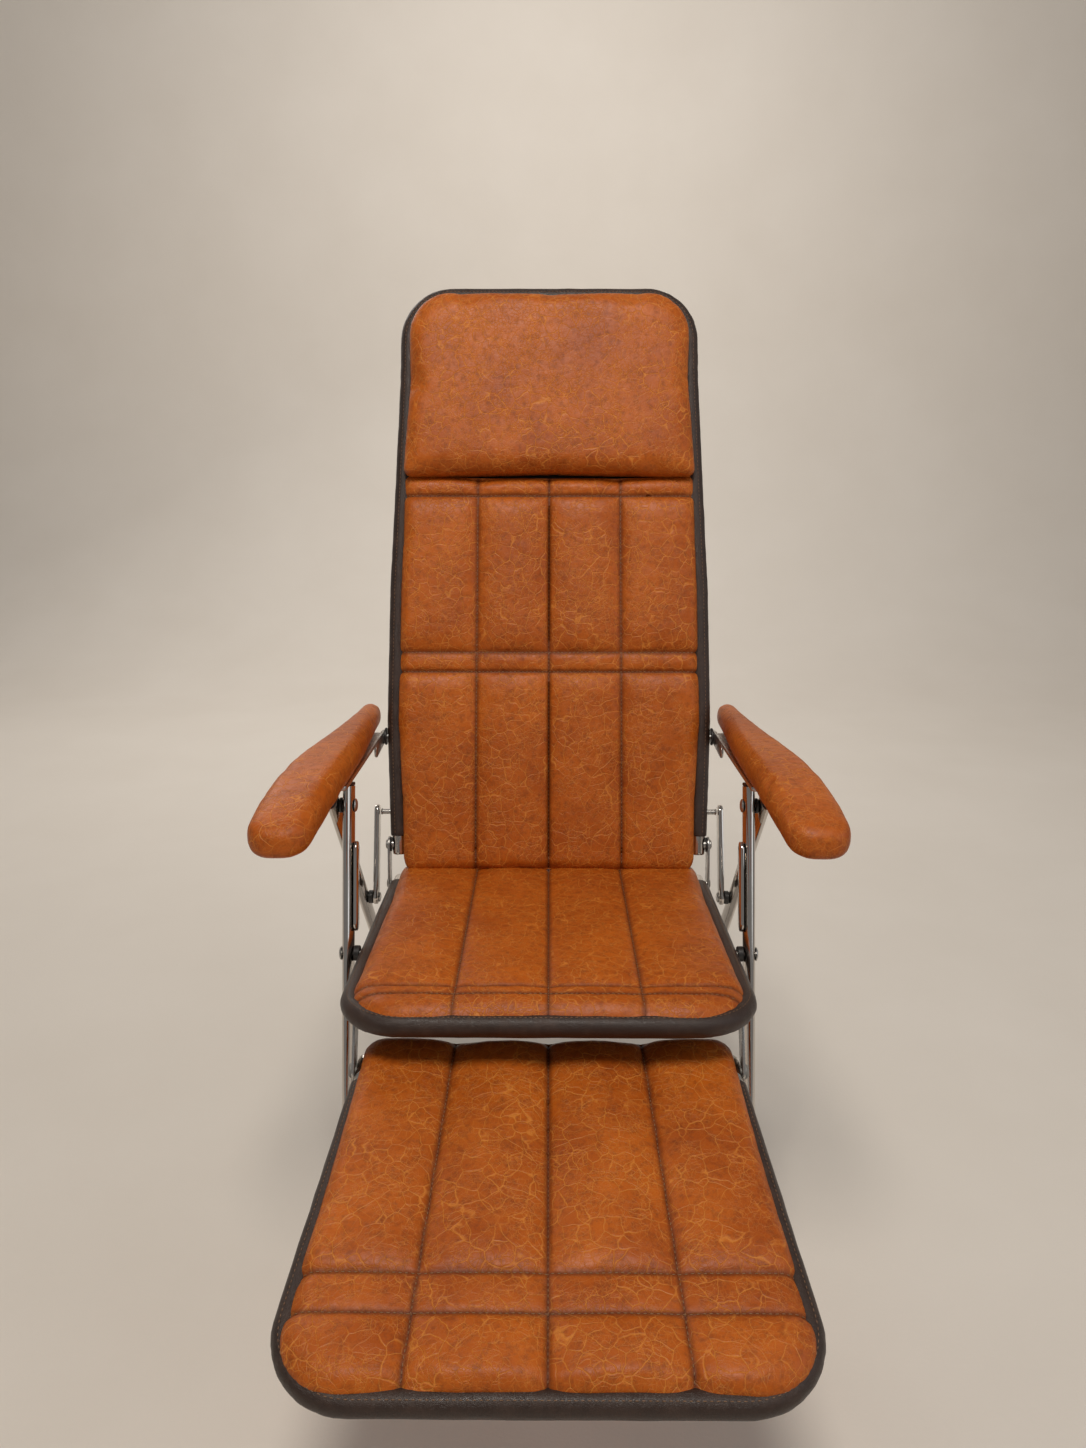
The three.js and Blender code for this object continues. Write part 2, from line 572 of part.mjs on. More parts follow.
add('back_frame', cut(
  place(sweep(backStations, roundShape(FRAME_RADIUS)), backPlane, backHinge),
  [wideDrill(SHAFT_RADIUS, backHinge), ...armBoltDrills, ...studDrills],
), CHROME);
add('back_binding', cut(
  place(sweep(backBindingStations, roundShape(bindingRadius(FRAME_RADIUS), BINDING_THICKNESS)),
    backPlane, backHinge),
  [...armBoltDrills, ...studDrills],
), BINDING);

/** Outline inside the back frame from one distance above the hinge to another, or to the frame's top. */
function backOutline(from, to, extraInset = 0) {
  const inset = bindingRadius(FRAME_RADIUS) + PAD_GAP + extraInset;
  const edge = insetOutline(backStations, inset);
  const margin = 30;
  const right = edge.filter((point) => point.x > 0).reverse();
  const widthAt = (along) => {
    const above = right.findIndex((point) => point.y >= along);
    const [low, high] = [right[above - 1], right[above]];
    return THREE.MathUtils.mapLinear(along, low.y, high.y, low.x, high.x);
  };
  const corner = (sign, along) => new THREE.Vector2(sign * widthAt(along), along);
  const between = (point) => point.y > from + margin && (!to || point.y < to - margin);
  const top = to ? [corner(-1, to), corner(1, to)] : [];
  return [
    corner(-1, from),
    ...edge.filter((point) => point.x < 0 && between(point)),
    ...top,
    ...edge.filter((point) => point.x > 0 && between(point)),
    corner(1, from),
  ];
}

// recess behind the pad's lower lip, where the hinge shaft crosses
const RECESS = 40;
const shaftRecess = new THREE.BoxGeometry(4 * BACK_HALF_WIDTHS[0][1], RECESS, RECESS);
shaftRecess.translate(0, SHAFT_RADIUS + 3 - RECESS / 2, SHAFT_RADIUS + 1.5 - RECESS / 2);
add('back_pad', place(cut(
  slab(softened(backOutline(BACK_PAD_FROM, PILLOW_FROM), 16), BACK_PAD), [shaftRecess],
), backPlane, backHinge), LEATHER);
add('head_pillow', place(slab(softened(backOutline(PILLOW_FROM + 2 * CLEARANCE, 0), 22), PILLOW),
  backPlane, backHinge), LEATHER);
add('back_board', place(slab(softened(backOutline(BACK_BINDING_FROM, 0, 6), 14), {
  low: BACK_PAD.low - CLEARANCE - BOARD_THICKNESS, high: BACK_PAD.low - CLEARANCE, round: 0.8,
}, 1), backPlane, backHinge), BOARD);

// hinge shaft right across the chair, with its dark washers between plate and tube
const tubeOuter = BACK_HALF_WIDTHS[0][1] + FRAME_RADIUS;
add('hinge_shaft', rod(SHAFT_RADIUS, -plateOuter - 3, plateOuter + 3, backHinge), STEEL);
for (const { name, sign } of SIDES) {
  const outward = (x) => sign * x;
  const washerFrom = tubeOuter + 4 * CLEARANCE;
  const washer = rod(
    SHAFT_RADIUS + WASHER_WALL, outward(washerFrom), outward(plateInner - CLEARANCE), backHinge);
  const drill = rod(
    holeRadius(SHAFT_RADIUS), outward(tubeOuter - 2), outward(plateInner + 2), backHinge);
  add(`hinge_washer_${name}`, cut(washer, [drill]), BLACK_PLASTIC);
}

// ---------------------------------------------------------------- link bars

for (const { name, sign } of SIDES) {
  const outward = (x) => sign * x;
  const pivotDrill = rod(holeRadius(BOLT_RADIUS), outward(barInner - 9), outward(rearOuter + 2), linkPivot);
  add(`link_bar_${name}`, strap(
    outward(barInner), outward(barOuter), linkPivot, linkStud, LINK_BAR.width / 2, [pivotDrill]), CHROME);
  const spacer = rod(SPACER_RADIUS, outward(barOuter + CLEARANCE), outward(rearInner - CLEARANCE), linkPivot);
  add(`link_spacer_${name}`, cut(spacer, [pivotDrill]), BLACK_PLASTIC);
  const headFace = barInner - CLEARANCE;
  const nutFace = rearOuter + CLEARANCE;
  add(`link_bolt_${name}`, fuse(
    rod(BOLT_RADIUS, outward(headFace - 1), outward(nutFace + 1), linkPivot),
    boltHead(SMALL_HEAD_RADIUS, outward(headFace), outward(headFace - HEAD_THICKNESS), linkPivot),
    boltHead(SMALL_HEAD_RADIUS, outward(nutFace), outward(nutFace + HEAD_THICKNESS), linkPivot),
  ), STEEL);
  const stud = rod(BOLT_RADIUS, outward(studFrom), outward(barInner - STUD_CLEARANCE), linkStud);
  add(`link_stud_${name}`, stud, STEEL);
}

// ---------------------------------------------------------------- arms

const armPad = { low: ARM_BOARD.low + ARM_BOARD.thickness + CLEARANCE, round: ARM_ROUND };
armPad.high = armPad.low + ARM_PAD_HEIGHT;

for (const { name, sign } of SIDES) {
  const outward = (x) => sign * x;
  const edge = (xOf) => new THREE.SplineCurve(ARM_OUTLINE.map((row) => new THREE.Vector2(
    outward(xOf(row)), row[0]))).getPoints(9);
  const inner = edge(([, gap]) => sideFace + gap);
  const outer = edge(([, gap, width]) => sideFace + gap + width).reverse();
  const outline = [...inner, ...outer];
  add(`arm_pad_${name}`, place(slab(softened(outline, 15), armPad), -ARM_TILT, armPivot), LEATHER);

  // pivot bolt, bracket disc and the lug of the arm board, from the back tube outwards
  const discFrom = sideFace + 2 * CLEARANCE;
  const discTo = discFrom + PLATE_THICKNESS;
  const lugFrom = discTo + CLEARANCE;
  const lugTo = lugFrom + PLATE_THICKNESS;
  const drill = rod(holeRadius(BOLT_RADIUS), outward(discFrom - 3), outward(lugTo + 2), armPivot);
  const disc = rod(ARM_DISC_RADIUS, outward(discFrom), outward(discTo), armPivot, 24);
  add(`arm_bracket_${name}`, cut(disc, [drill]), BLACK_PLASTIC);
  const lugEnd = inPlane(-ARM_TILT, armPivot, -ARM_LUG.reach, -ARM_LUG.drop);
  const lug = strap(outward(lugFrom), outward(lugTo), armPivot, lugEnd, ARM_LUG.halfWidth, [drill]);
  const boardInner = lugFrom;
  const boardOuter = sideFace + ARM_OUTLINE[1][1] + ARM_OUTLINE[1][2] - ARM_BOARD.inset;
  const board = new THREE.BoxGeometry(
    boardOuter - boardInner, ARM_BOARD.from - ARM_BOARD.to, ARM_BOARD.thickness);
  board.translate(outward((boardInner + boardOuter) / 2), (ARM_BOARD.from + ARM_BOARD.to) / 2,
    ARM_BOARD.low + ARM_BOARD.thickness / 2);
  add(`arm_board_${name}`, fuse(lug, place(board, -ARM_TILT, armPivot)), STEEL);
  add(`arm_bolt_${name}`, fuse(
    rod(BOLT_RADIUS, outward(armBoltFrom), outward(lugTo + 1), armPivot),
    boltHead(HEAD_RADIUS, outward(lugTo + CLEARANCE), outward(lugTo + CLEARANCE + HEAD_THICKNESS), armPivot),
  ), STEEL);
}

group.children.forEach((mesh) => mesh.geometry.translate(0, -Y_SHIFT, 0));

export default group;
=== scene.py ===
"""Looks of a folding relax chair: quilted cushions, vinyl bindings and chromed oval tubes.

Every size is in millimetres in the classes below and becomes metres when a mesh is placed.
"""

import logging
import math
from dataclasses import dataclass, field
from enum import Enum
from typing import Callable, Iterable, Sequence

import bmesh
import bpy
import numpy as np
from mathutils import Matrix, Vector, noise
from mathutils.bvhtree import BVHTree


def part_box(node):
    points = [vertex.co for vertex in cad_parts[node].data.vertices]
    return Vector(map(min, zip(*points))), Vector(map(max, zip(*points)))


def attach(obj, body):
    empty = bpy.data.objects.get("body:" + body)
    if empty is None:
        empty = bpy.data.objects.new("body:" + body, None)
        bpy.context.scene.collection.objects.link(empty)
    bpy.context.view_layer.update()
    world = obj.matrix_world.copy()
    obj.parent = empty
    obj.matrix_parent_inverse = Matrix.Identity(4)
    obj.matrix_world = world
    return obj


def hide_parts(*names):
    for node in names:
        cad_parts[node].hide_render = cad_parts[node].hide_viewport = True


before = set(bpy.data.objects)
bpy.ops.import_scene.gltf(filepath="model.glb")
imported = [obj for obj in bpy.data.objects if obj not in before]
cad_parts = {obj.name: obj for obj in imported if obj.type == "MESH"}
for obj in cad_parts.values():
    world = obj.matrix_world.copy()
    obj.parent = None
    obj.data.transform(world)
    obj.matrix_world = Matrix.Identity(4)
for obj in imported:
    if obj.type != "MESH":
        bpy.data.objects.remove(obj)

logging.basicConfig(level=logging.INFO, format="%(name)s: %(message)s")
LOG = logging.getLogger("chair")
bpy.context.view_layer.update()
MM = 0.001


class Side(Enum):
    """Which side of the chair, as seen by someone facing it."""

    LEFT = -1
    RIGHT = 1

    @property
    def word(self) -> str:
        """The side's name as it ends a piece's name."""
        return self.name.lower()


class Tilt(Enum):
    """How far each flat sub-assembly is turned about the chair's width, in degrees."""

    FRONT_LEGS = 73.5
    REAR_LEGS = 130.5
    SEAT = -4.0
    BACK = 73.0
    ARMS = -4.0
    FOOTREST = 11.0


# ------------------------------------------------------------------ where things are


@dataclass(frozen=True)
class Spot:
    """A point in the chair's side plane, in metres."""

    y: float
    z: float

    @classmethod
    def of_node(cls, node: str) -> "Spot":
        """The middle of a CAD node's box, seen from the side."""
        low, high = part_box(node)
        return cls((low.y + high.y) / 2, (low.z + high.z) / 2)


@dataclass(frozen=True)
class Plane:
    """A flat working plane: X across the chair, Y along the piece, Z out of its face."""

    spot: Spot
    tilt: Tilt

    def matrix(self) -> Matrix:
        """Moves a mesh in millimetres in this plane to its place on the chair.

        Returns:
            The combined scale, turn and shift.
        """
        turn = Matrix.Rotation(math.radians(self.tilt.value), 4, "X")
        return Matrix.Translation((0, self.spot.y, self.spot.z)) @ turn @ Matrix.Scale(MM, 4)

    def spot_at(self, along: float, above: float = 0.0) -> Spot:
        """The side-plane point at a distance along this plane and above it, in millimetres."""
        point = self.matrix() @ Vector((0, along, above))
        return Spot(point.y, point.z)


@dataclass(frozen=True)
class Landmarks:
    """The chair's hinges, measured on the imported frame."""

    top_bolt: Spot = field(default_factory=lambda: Spot.of_node("top_bolt_left"))
    seat_pivot: Spot = field(default_factory=lambda: Spot.of_node("seat_bolt_left"))
    back_hinge: Spot = field(default_factory=lambda: Spot.of_node("hinge_shaft"))
    arm_pivot: Spot = field(default_factory=lambda: Spot.of_node("arm_bracket_left"))
    link_pivot: Spot = field(default_factory=lambda: Spot.of_node("link_spacer_left"))
    link_stud: Spot = field(default_factory=lambda: Spot.of_node("link_stud_left"))
    foot_hinge: Spot = field(default_factory=lambda: Spot.of_node("foot_bolt_left"))
    plate_screw: Spot = field(default_factory=lambda: Spot.of_node("plate_screw_left"))


# ------------------------------------------------------------------ shader writing


class Signal:
    """One number that varies over a surface, used in ordinary sums."""

    def __init__(self, bench: "Bench", socket: bpy.types.NodeSocket) -> None:
        """Wraps a socket of a bench's tree."""
        self.bench = bench
        self.socket = socket

    def _sum(self, operation: str, first: "Signal | float", second: "Signal | float") -> "Signal":
        """Adds one Math node.

        Args:
            operation: the Math node's operation.
            first: its first value.
            second: its second value.

        Returns:
            The node's result.
        """
        made = self.bench.node("ShaderNodeMath", {"operation": operation}, {0: first, 1: second})
        return Signal(self.bench, made.outputs[0])

    def __add__(self, other: "Signal | float") -> "Signal":
        """self + other."""
        return self._sum("ADD", self, other)

    def __radd__(self, other: float) -> "Signal":
        """other + self."""
        return self._sum("ADD", other, self)

    def __sub__(self, other: "Signal | float") -> "Signal":
        """self - other."""
        return self._sum("SUBTRACT", self, other)

    def __rsub__(self, other: float) -> "Signal":
        """other - self."""
        return self._sum("SUBTRACT", other, self)

    def __mul__(self, other: "Signal | float") -> "Signal":
        """self * other."""
        return self._sum("MULTIPLY", self, other)

    def __rmul__(self, other: float) -> "Signal":
        """other * self."""
        return self._sum("MULTIPLY", other, self)

    def clamped(self, low: float, high: float) -> "Signal":
        """Spreads the span from low to high over 0 to 1 and cuts off the rest."""
        made = self.bench.node(
            "ShaderNodeMapRange", {"clamp": True}, {"Value": self, "From Min": low, "From Max": high})
        return Signal(self.bench, made.outputs[0])


Feed = "Signal | bpy.types.NodeSocket | float | Sequence[float]"


class Bench:
    """The node tree of one material while it is written."""

    def __init__(self, name: str) -> None:
        """Starts an empty tree with its shader and output."""
        self.material = bpy.data.materials.new(name)
        self.material.use_nodes = True
        self.tree = self.material.node_tree
        self.tree.nodes.clear()
        self.shader = self.node("ShaderNodeBsdfPrincipled")
        self.node("ShaderNodeOutputMaterial", None, {"Surface": self.shader.outputs[0]})
        self.place = self.node("ShaderNodeTexCoord").outputs["Object"]

    def node(self, kind: str, settings: dict | None = None, inputs: dict | None = None) -> bpy.types.Node:
        """Adds one node.

        Args:
            kind: the node's type.
            settings: properties set first.
            inputs: socket name or number to a value or a link.

        Returns:
            The new node.
        """
        made = self.tree.nodes.new(kind)
        for key, value in (settings or {}).items():
            setattr(made, key, value)
        for key, value in (inputs or {}).items():
            socket = made.inputs[key]
            source = value.socket if isinstance(value, Signal) else value
            if isinstance(source, bpy.types.NodeSocket):
                self.tree.links.new(source, socket)
            else:
                socket.default_value = source
        return made

    def noise(self, scale: float, detail: float = 3.0, rough: float = 0.55, place: Feed = None) -> Signal:
        """Soft noise, so many ripples to the metre."""
        made = self.node("ShaderNodeTexNoise", None, {
            "Vector": place or self.place, "Scale": scale, "Detail": detail, "Roughness": rough})
        return Signal(self, made.outputs["Fac"])

    def cells(self, scale: float, place: Feed = None) -> Signal:
        """Distance to the edge of a cell of a crackle, so many cells to the metre."""
        made = self.node("ShaderNodeTexVoronoi", {"feature": "DISTANCE_TO_EDGE"}, {
            "Vector": place or self.place, "Scale": scale})
        return Signal(self, made.outputs["Distance"])

    def wobbled(self, scale: float, amount: float) -> bpy.types.NodeSocket:
        """The surface's coordinates, pushed about by noise.

        Args:
            scale: ripples of the noise to the metre.
            amount: how far it pushes, in metres.

        Returns:
            The pushed coordinates.
        """
        colour = self.node("ShaderNodeTexNoise", None, {"Vector": self.place, "Scale": scale}).outputs["Color"]
        push = self.node("ShaderNodeVectorMath", {"operation": "MULTIPLY_ADD"}, {
            0: colour, 1: (amount,) * 3, 2: self.place})
        return push.outputs[0]

    def attribute(self, name: str) -> Signal:
        """A number stored on the mesh's points."""
        made = self.node("ShaderNodeAttribute", {"attribute_name": name})
        return Signal(self, made.outputs["Fac"])

    def blend(self, share: Feed, first: Feed, second: Feed) -> bpy.types.NodeSocket:
        """Mixes two colours, the second by its share."""
        made = self.node("ShaderNodeMix", {"data_type": "RGBA"}, {0: share, 6: first, 7: second})
        return made.outputs[2]

    def relief(self, height: Signal, depth: float, strength: float = 1.0) -> None:
        """Gives the shader a bump.

        Args:
            height: 0 to 1 relief.
            depth: what 1 stands for, in metres.
            strength: how much of it shows.
        """
        bump = self.node("ShaderNodeBump", None, {"Height": height, "Distance": depth, "Strength": strength})
        self.tree.links.new(bump.outputs[0], self.shader.inputs["Normal"])

    def dress(self, **sockets: Feed) -> bpy.types.Material:
        """Sets the shader's sockets, named with underscores, and returns the material."""
        for name, value in sockets.items():
            socket = self.shader.inputs[name.replace("_", " ").title()]
            source = value.socket if isinstance(value, Signal) else value
            if isinstance(source, bpy.types.NodeSocket):
                self.tree.links.new(source, socket)
            else:
                socket.default_value = source
        return self.material


def rgb(red: float, green: float, blue: float) -> tuple[float, float, float, float]:
    """A colour with full cover."""
    return red, green, blue, 1.0


@dataclass(frozen=True)
class Finish:
    """What a finish is called on the chair, and the slot name that it carries."""

    name: str
    slot: str

    def material(self) -> bpy.types.Material:
        """The finish's material, made once."""
        return bpy.data.materials.get(self.name) or self.write(Bench(self.name))

    def write(self, bench: Bench) -> bpy.types.Material:
        """Writes the shader; each finish has its own."""
        raise NotImplementedError


@dataclass(frozen=True)
class CrackleLeather(Finish):
    """Glossy artificial leather with a fine crackle, mottling and painted shade along its seams."""

    tan: tuple = rgb(0.36, 0.068, 0.0040)
    amber: tuple = rgb(0.52, 0.115, 0.0075)
    vein: tuple = rgb(0.70, 0.245, 0.036)
    # this dark colour serves both the leather's own mottling and the painted shade along the seams
    shade: tuple = rgb(0.085, 0.016, 0.003)

    def write(self, bench: Bench) -> bpy.types.Material:
        """Long pale creases, short ones between them, mottling and seam shade."""
        long_place = bench.wobbled(30.0, 0.020)
        short_place = bench.wobbled(75.0, 0.009)
        long_vein = (1 - bench.cells(58.0, long_place).clamped(0.0, 0.040)) * bench.noise(19.0).clamped(0.36, 0.52)
        cross_vein = (1 - bench.cells(105.0, long_place).clamped(0.0, 0.045)) * bench.noise(27.0).clamped(0.42, 0.6)
        short_vein = (1 - bench.cells(185.0, short_place).clamped(0.0, 0.075)) * bench.noise(41.0).clamped(0.40, 0.62)
        fine_vein = (1 - bench.cells(400.0, short_place).clamped(0.0, 0.13)) * bench.noise(70.0).clamped(0.35, 0.7)
        vein = (long_vein * 0.85 + cross_vein * 0.6 + short_vein * 0.55 + fine_vein * 0.3).clamped(0.0, 1.0)
        pores = bench.noise(1300.0, 2.0)
        cloud = bench.noise(13.0, 5.0, 0.6).clamped(0.34, 0.68)
        mottle = bench.noise(120.0, 5.0, 0.7).clamped(0.48, 0.72)
        seam = bench.attribute("seam")
        body = bench.blend(cloud, self.tan, self.amber)
        blotched = bench.blend(mottle * 0.5, body, self.shade)
        veined = bench.blend(vein * 0.72, blotched, self.vein)
        # painted shade: darkens a narrow band of the leather along each seam line
        sewn = bench.blend(seam * 0.92, veined, self.shade)
        rough = 0.40 + vein * 0.10 + mottle * 0.10 + seam * 0.15
        bench.relief((1 - vein) * 0.72 + (1 - mottle) * 0.14 + pores * 0.14, 0.0006, 0.85)
        bench.shader.inputs["Specular IOR Level"].default_value = 0.3
        return bench.dress(base_color=sewn, roughness=rough)


@dataclass(frozen=True)
class BindingVinyl(Finish):
    """Dark-brown vinyl stretched round the tubes, with lighter patches that are partly worn and partly painted
    highlight.
    """

    brown: tuple = rgb(0.028, 0.0135, 0.0085)
    wear_and_highlight_tone: tuple = rgb(0.085, 0.045, 0.030)

    def write(self, bench: Bench) -> bpy.types.Material:
        """Pebble grain, lighter patches, partly worn and partly painted highlight, and faint pull lines."""
        pebble = bench.cells(950.0, bench.wobbled(300.0, 0.002)).clamped(0.0, 0.2)
        # lighter patches at random: partly worn vinyl, partly painted highlight for its soft gloss
        wear_and_highlight = bench.noise(46.0, 6.0, 0.7).clamped(0.46, 0.78)
        pull = bench.noise(140.0, 2.0)
        colour = bench.blend(wear_and_highlight * 0.55 + (1 - pebble) * 0.1, self.brown, self.wear_and_highlight_tone)
        bench.relief(pebble * 0.5 + pull * 0.5, 0.0003, 0.7)
        return bench.dress(base_color=colour, roughness=0.36 + wear_and_highlight * 0.16 + (1 - pebble) * 0.08)


@dataclass(frozen=True)
class Chrome(Finish):
    """Chromed tube with faint haze, hairline rub marks and a few pits."""

    bright: tuple = rgb(0.60, 0.56, 0.52)
    haze: tuple = rgb(0.40, 0.36, 0.32)

    def write(self, bench: Bench) -> bpy.types.Material:
        """Haze, rub marks and pits."""
        haze = bench.noise(16.0, 5.0, 0.6).clamped(0.5, 0.8)
        stretch = bench.node("ShaderNodeMapping", None, {"Vector": bench.place, "Scale": (900.0, 60.0, 60.0)})
        rub = bench.noise(1.0, 3.0, 0.5, stretch.outputs[0]).clamped(0.55, 0.85)
        pit = 1 - bench.cells(180.0).clamped(0.0, 0.03) * bench.noise(40.0).clamped(0.3, 0.5)
        colour = bench.blend(haze * 0.5 + pit * 0.06, self.bright, self.haze)
        bench.relief(bench.noise(55.0, 2.0) * 0.6 + rub * 0.4, 0.00004, 0.5)
        return bench.dress(base_color=colour, metallic=1.0, roughness=0.075 + haze * 0.12 + rub * 0.1)


@dataclass(frozen=True)
class ZincSteel(Finish):
    """Plated fittings, duller than the tubes, with patches of tarnish."""

    def write(self, bench: Bench) -> bpy.types.Material:
        """Spangle and tarnish."""
        spangle = bench.cells(420.0).clamped(0.0, 0.3)
        tarnish = bench.noise(120.0, 5.0, 0.7).clamped(0.4, 0.75)
        colour = bench.blend(tarnish * 0.7, rgb(0.56, 0.55, 0.53), rgb(0.22, 0.19, 0.16))
        bench.relief(spangle * 0.4 + bench.noise(900.0) * 0.6, 0.0001, 0.5)
        return bench.dress(base_color=colour, metallic=1.0, roughness=0.27 + tarnish * 0.25)


@dataclass(frozen=True)
class Moulded(Finish):
    """Moulded plastic or rubber with a fine spark-eroded grain."""

    tone: tuple = rgb(0.02, 0.018, 0.017)
    dusty: tuple = rgb(0.07, 0.062, 0.055)
    gloss: float = 0.42

    def write(self, bench: Bench) -> bpy.types.Material:
        """Grain and dust."""
        grain = bench.noise(2400.0, 2.0)
        dust = bench.noise(70.0, 6.0, 0.7).clamped(0.48, 0.8)
        colour = bench.blend(dust * 0.6, self.tone, self.dusty)
        bench.relief(grain, 0.00012, 0.6)
        return bench.dress(base_color=colour, roughness=self.gloss + dust * 0.25)


@dataclass(frozen=True)
class WovenLining(Finish):
    """Dark cloth that covers the back of a cushion."""

    warp: tuple = rgb(0.045, 0.033, 0.026)
    weft: tuple = rgb(0.085, 0.064, 0.05)

    def write(self, bench: Bench) -> bpy.types.Material:
        """Plain weave of about one thread to the millimetre."""
        waves = [
            Signal(bench, bench.node("ShaderNodeTexWave", {
                "wave_type": "BANDS", "bands_direction": axis, "wave_profile": "SIN",
            }, {"Vector": bench.place, "Scale": 150.0, "Distortion": 0.6, "Detail": 1.0}).outputs["Fac"])
            for axis in ("X", "Z")]
        weave = waves[0] * waves[1]
        slub = bench.noise(260.0, 3.0)
        colour = bench.blend(weave * 0.7 + slub * 0.3, self.warp, self.weft)
        bench.relief(weave * 0.7 + slub * 0.3, 0.0004, 0.8)
        return bench.dress(base_color=colour, roughness=0.82 + slub * 0.1, sheen_weight=0.25)


@dataclass(frozen=True)
class Thread(Finish):
    """Twisted sewing thread."""

    tone: tuple = rgb(0.2, 0.085, 0.03)

    def write(self, bench: Bench) -> bpy.types.Material:
        """Twist and fuzz."""
        twist = bench.noise(1900.0, 2.0)
        colour = bench.blend(twist, self.tone, rgb(0.36, 0.2, 0.1))
        bench.relief(twist, 0.0002, 0.6)
        return bench.dress(base_color=colour, roughness=0.55 + twist * 0.2)


LEATHER = CrackleLeather("crackle_leather", "leather")
VINYL = BindingVinyl("binding_vinyl", "binding")
CHROME = Chrome("chromed_tube", "chrome_tube")
ZINC = ZincSteel("zinc_fittings", "steel")
BLACK = Moulded("black_moulding", "black_plastic")
GREY = Moulded("grey_cap_moulding", "grey_cap", rgb(0.19, 0.18, 0.165), rgb(0.3, 0.285, 0.26), 0.4)
RUBBER = Moulded("glide_rubber", "rubber", rgb(0.016, 0.015, 0.014), rgb(0.06, 0.055, 0.05), 0.62)
LINING = WovenLining("woven_lining", "lining")
THREAD = Thread("sewing_thread", "leather")
DARK_THREAD = Thread("binding_thread", "binding", rgb(0.1, 0.05, 0.03))


# ------------------------------------------------------------------ mesh making


def put(name: str, form: bmesh.types.BMesh, finish: Finish, body: str, nodes: Iterable[str] = (),
        sharp: float = 40.0) -> bpy.types.Object:
    """Turns a finished form into a piece of the chair.

    Args:
        name: the piece's name.
        form: its mesh, in metres and in place; it is freed.
        finish: what it is finished in.
        body: the CAD body that it moves with.
        nodes: the CAD nodes that it stands for.
        sharp: edges bent more than this many degrees stay crisp.

    Returns:
        The piece.
    """
    mesh = bpy.data.meshes.new(name)
    form.to_mesh(mesh)
    form.free()
    mesh.shade_smooth()
    mesh.set_sharp_from_angle(angle=math.radians(sharp))
    piece = bpy.data.objects.new(name, mesh)
    bpy.context.scene.collection.objects.link(piece)
    piece.data.materials.append(finish.material())
    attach(piece, body)
    if nodes:
        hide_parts(*nodes)
    LOG.info("%s on %s, %d faces", name, body, len(mesh.polygons))
    return piece


def edges_of(geometry: Iterable) -> list[bmesh.types.BMEdge]:
    """The edges among a bmesh operator's results."""
    return [item for item in geometry if isinstance(item, bmesh.types.BMEdge)]


def verts_of(geometry: Iterable) -> list[bmesh.types.BMVert]:
    """The vertices among a bmesh operator's results."""
    return [item for item in geometry if isinstance(item, bmesh.types.BMVert)]


def rounded(form: bmesh.types.BMesh, edges: list, width: float, segments: int = 3) -> None:
    """Bevels edges with an even round."""
    bmesh.ops.bevel(form, geom=edges, offset=width, offset_type="OFFSET", segments=segments, profile=0.5,
                    affect="EDGES", material=-1, clamp_overlap=True)


def settled(form: bmesh.types.BMesh) -> bmesh.types.BMesh:
    """Merges doubled points and turns every face outwards."""
    bmesh.ops.remove_doubles(form, verts=form.verts, dist=1e-6)
    bmesh.ops.recalc_face_normals(form, faces=form.faces)
    return form


@dataclass(frozen=True)
class Section:
    """A tube's outline: thick out of the bend plane and wide in it."""

    thick: float
    wide: float
    sides: int = 32

    def ring(self, form: bmesh.types.BMesh, at: Vector, inward: Vector) -> list[bmesh.types.BMVert]:
        """Draws the outline.

        Args:
            form: the mesh to draw in.
            at: its middle.
            inward: the way its tongue points.

        Returns:
            The outline's points.
        """
        frame_here = Matrix((inward, Vector((0, 0, 1)), inward.cross(Vector((0, 0, 1))))).transposed().to_4x4()
        ring = bmesh.ops.create_circle(form, cap_ends=False, segments=self.sides, radius=1.0)["verts"]
        oval = Matrix.Diagonal((self.wide / 2, self.thick / 2, 1, 1))
        bmesh.ops.transform(form, matrix=Matrix.Translation(at) @ frame_here @ oval, verts=ring)
        return ring


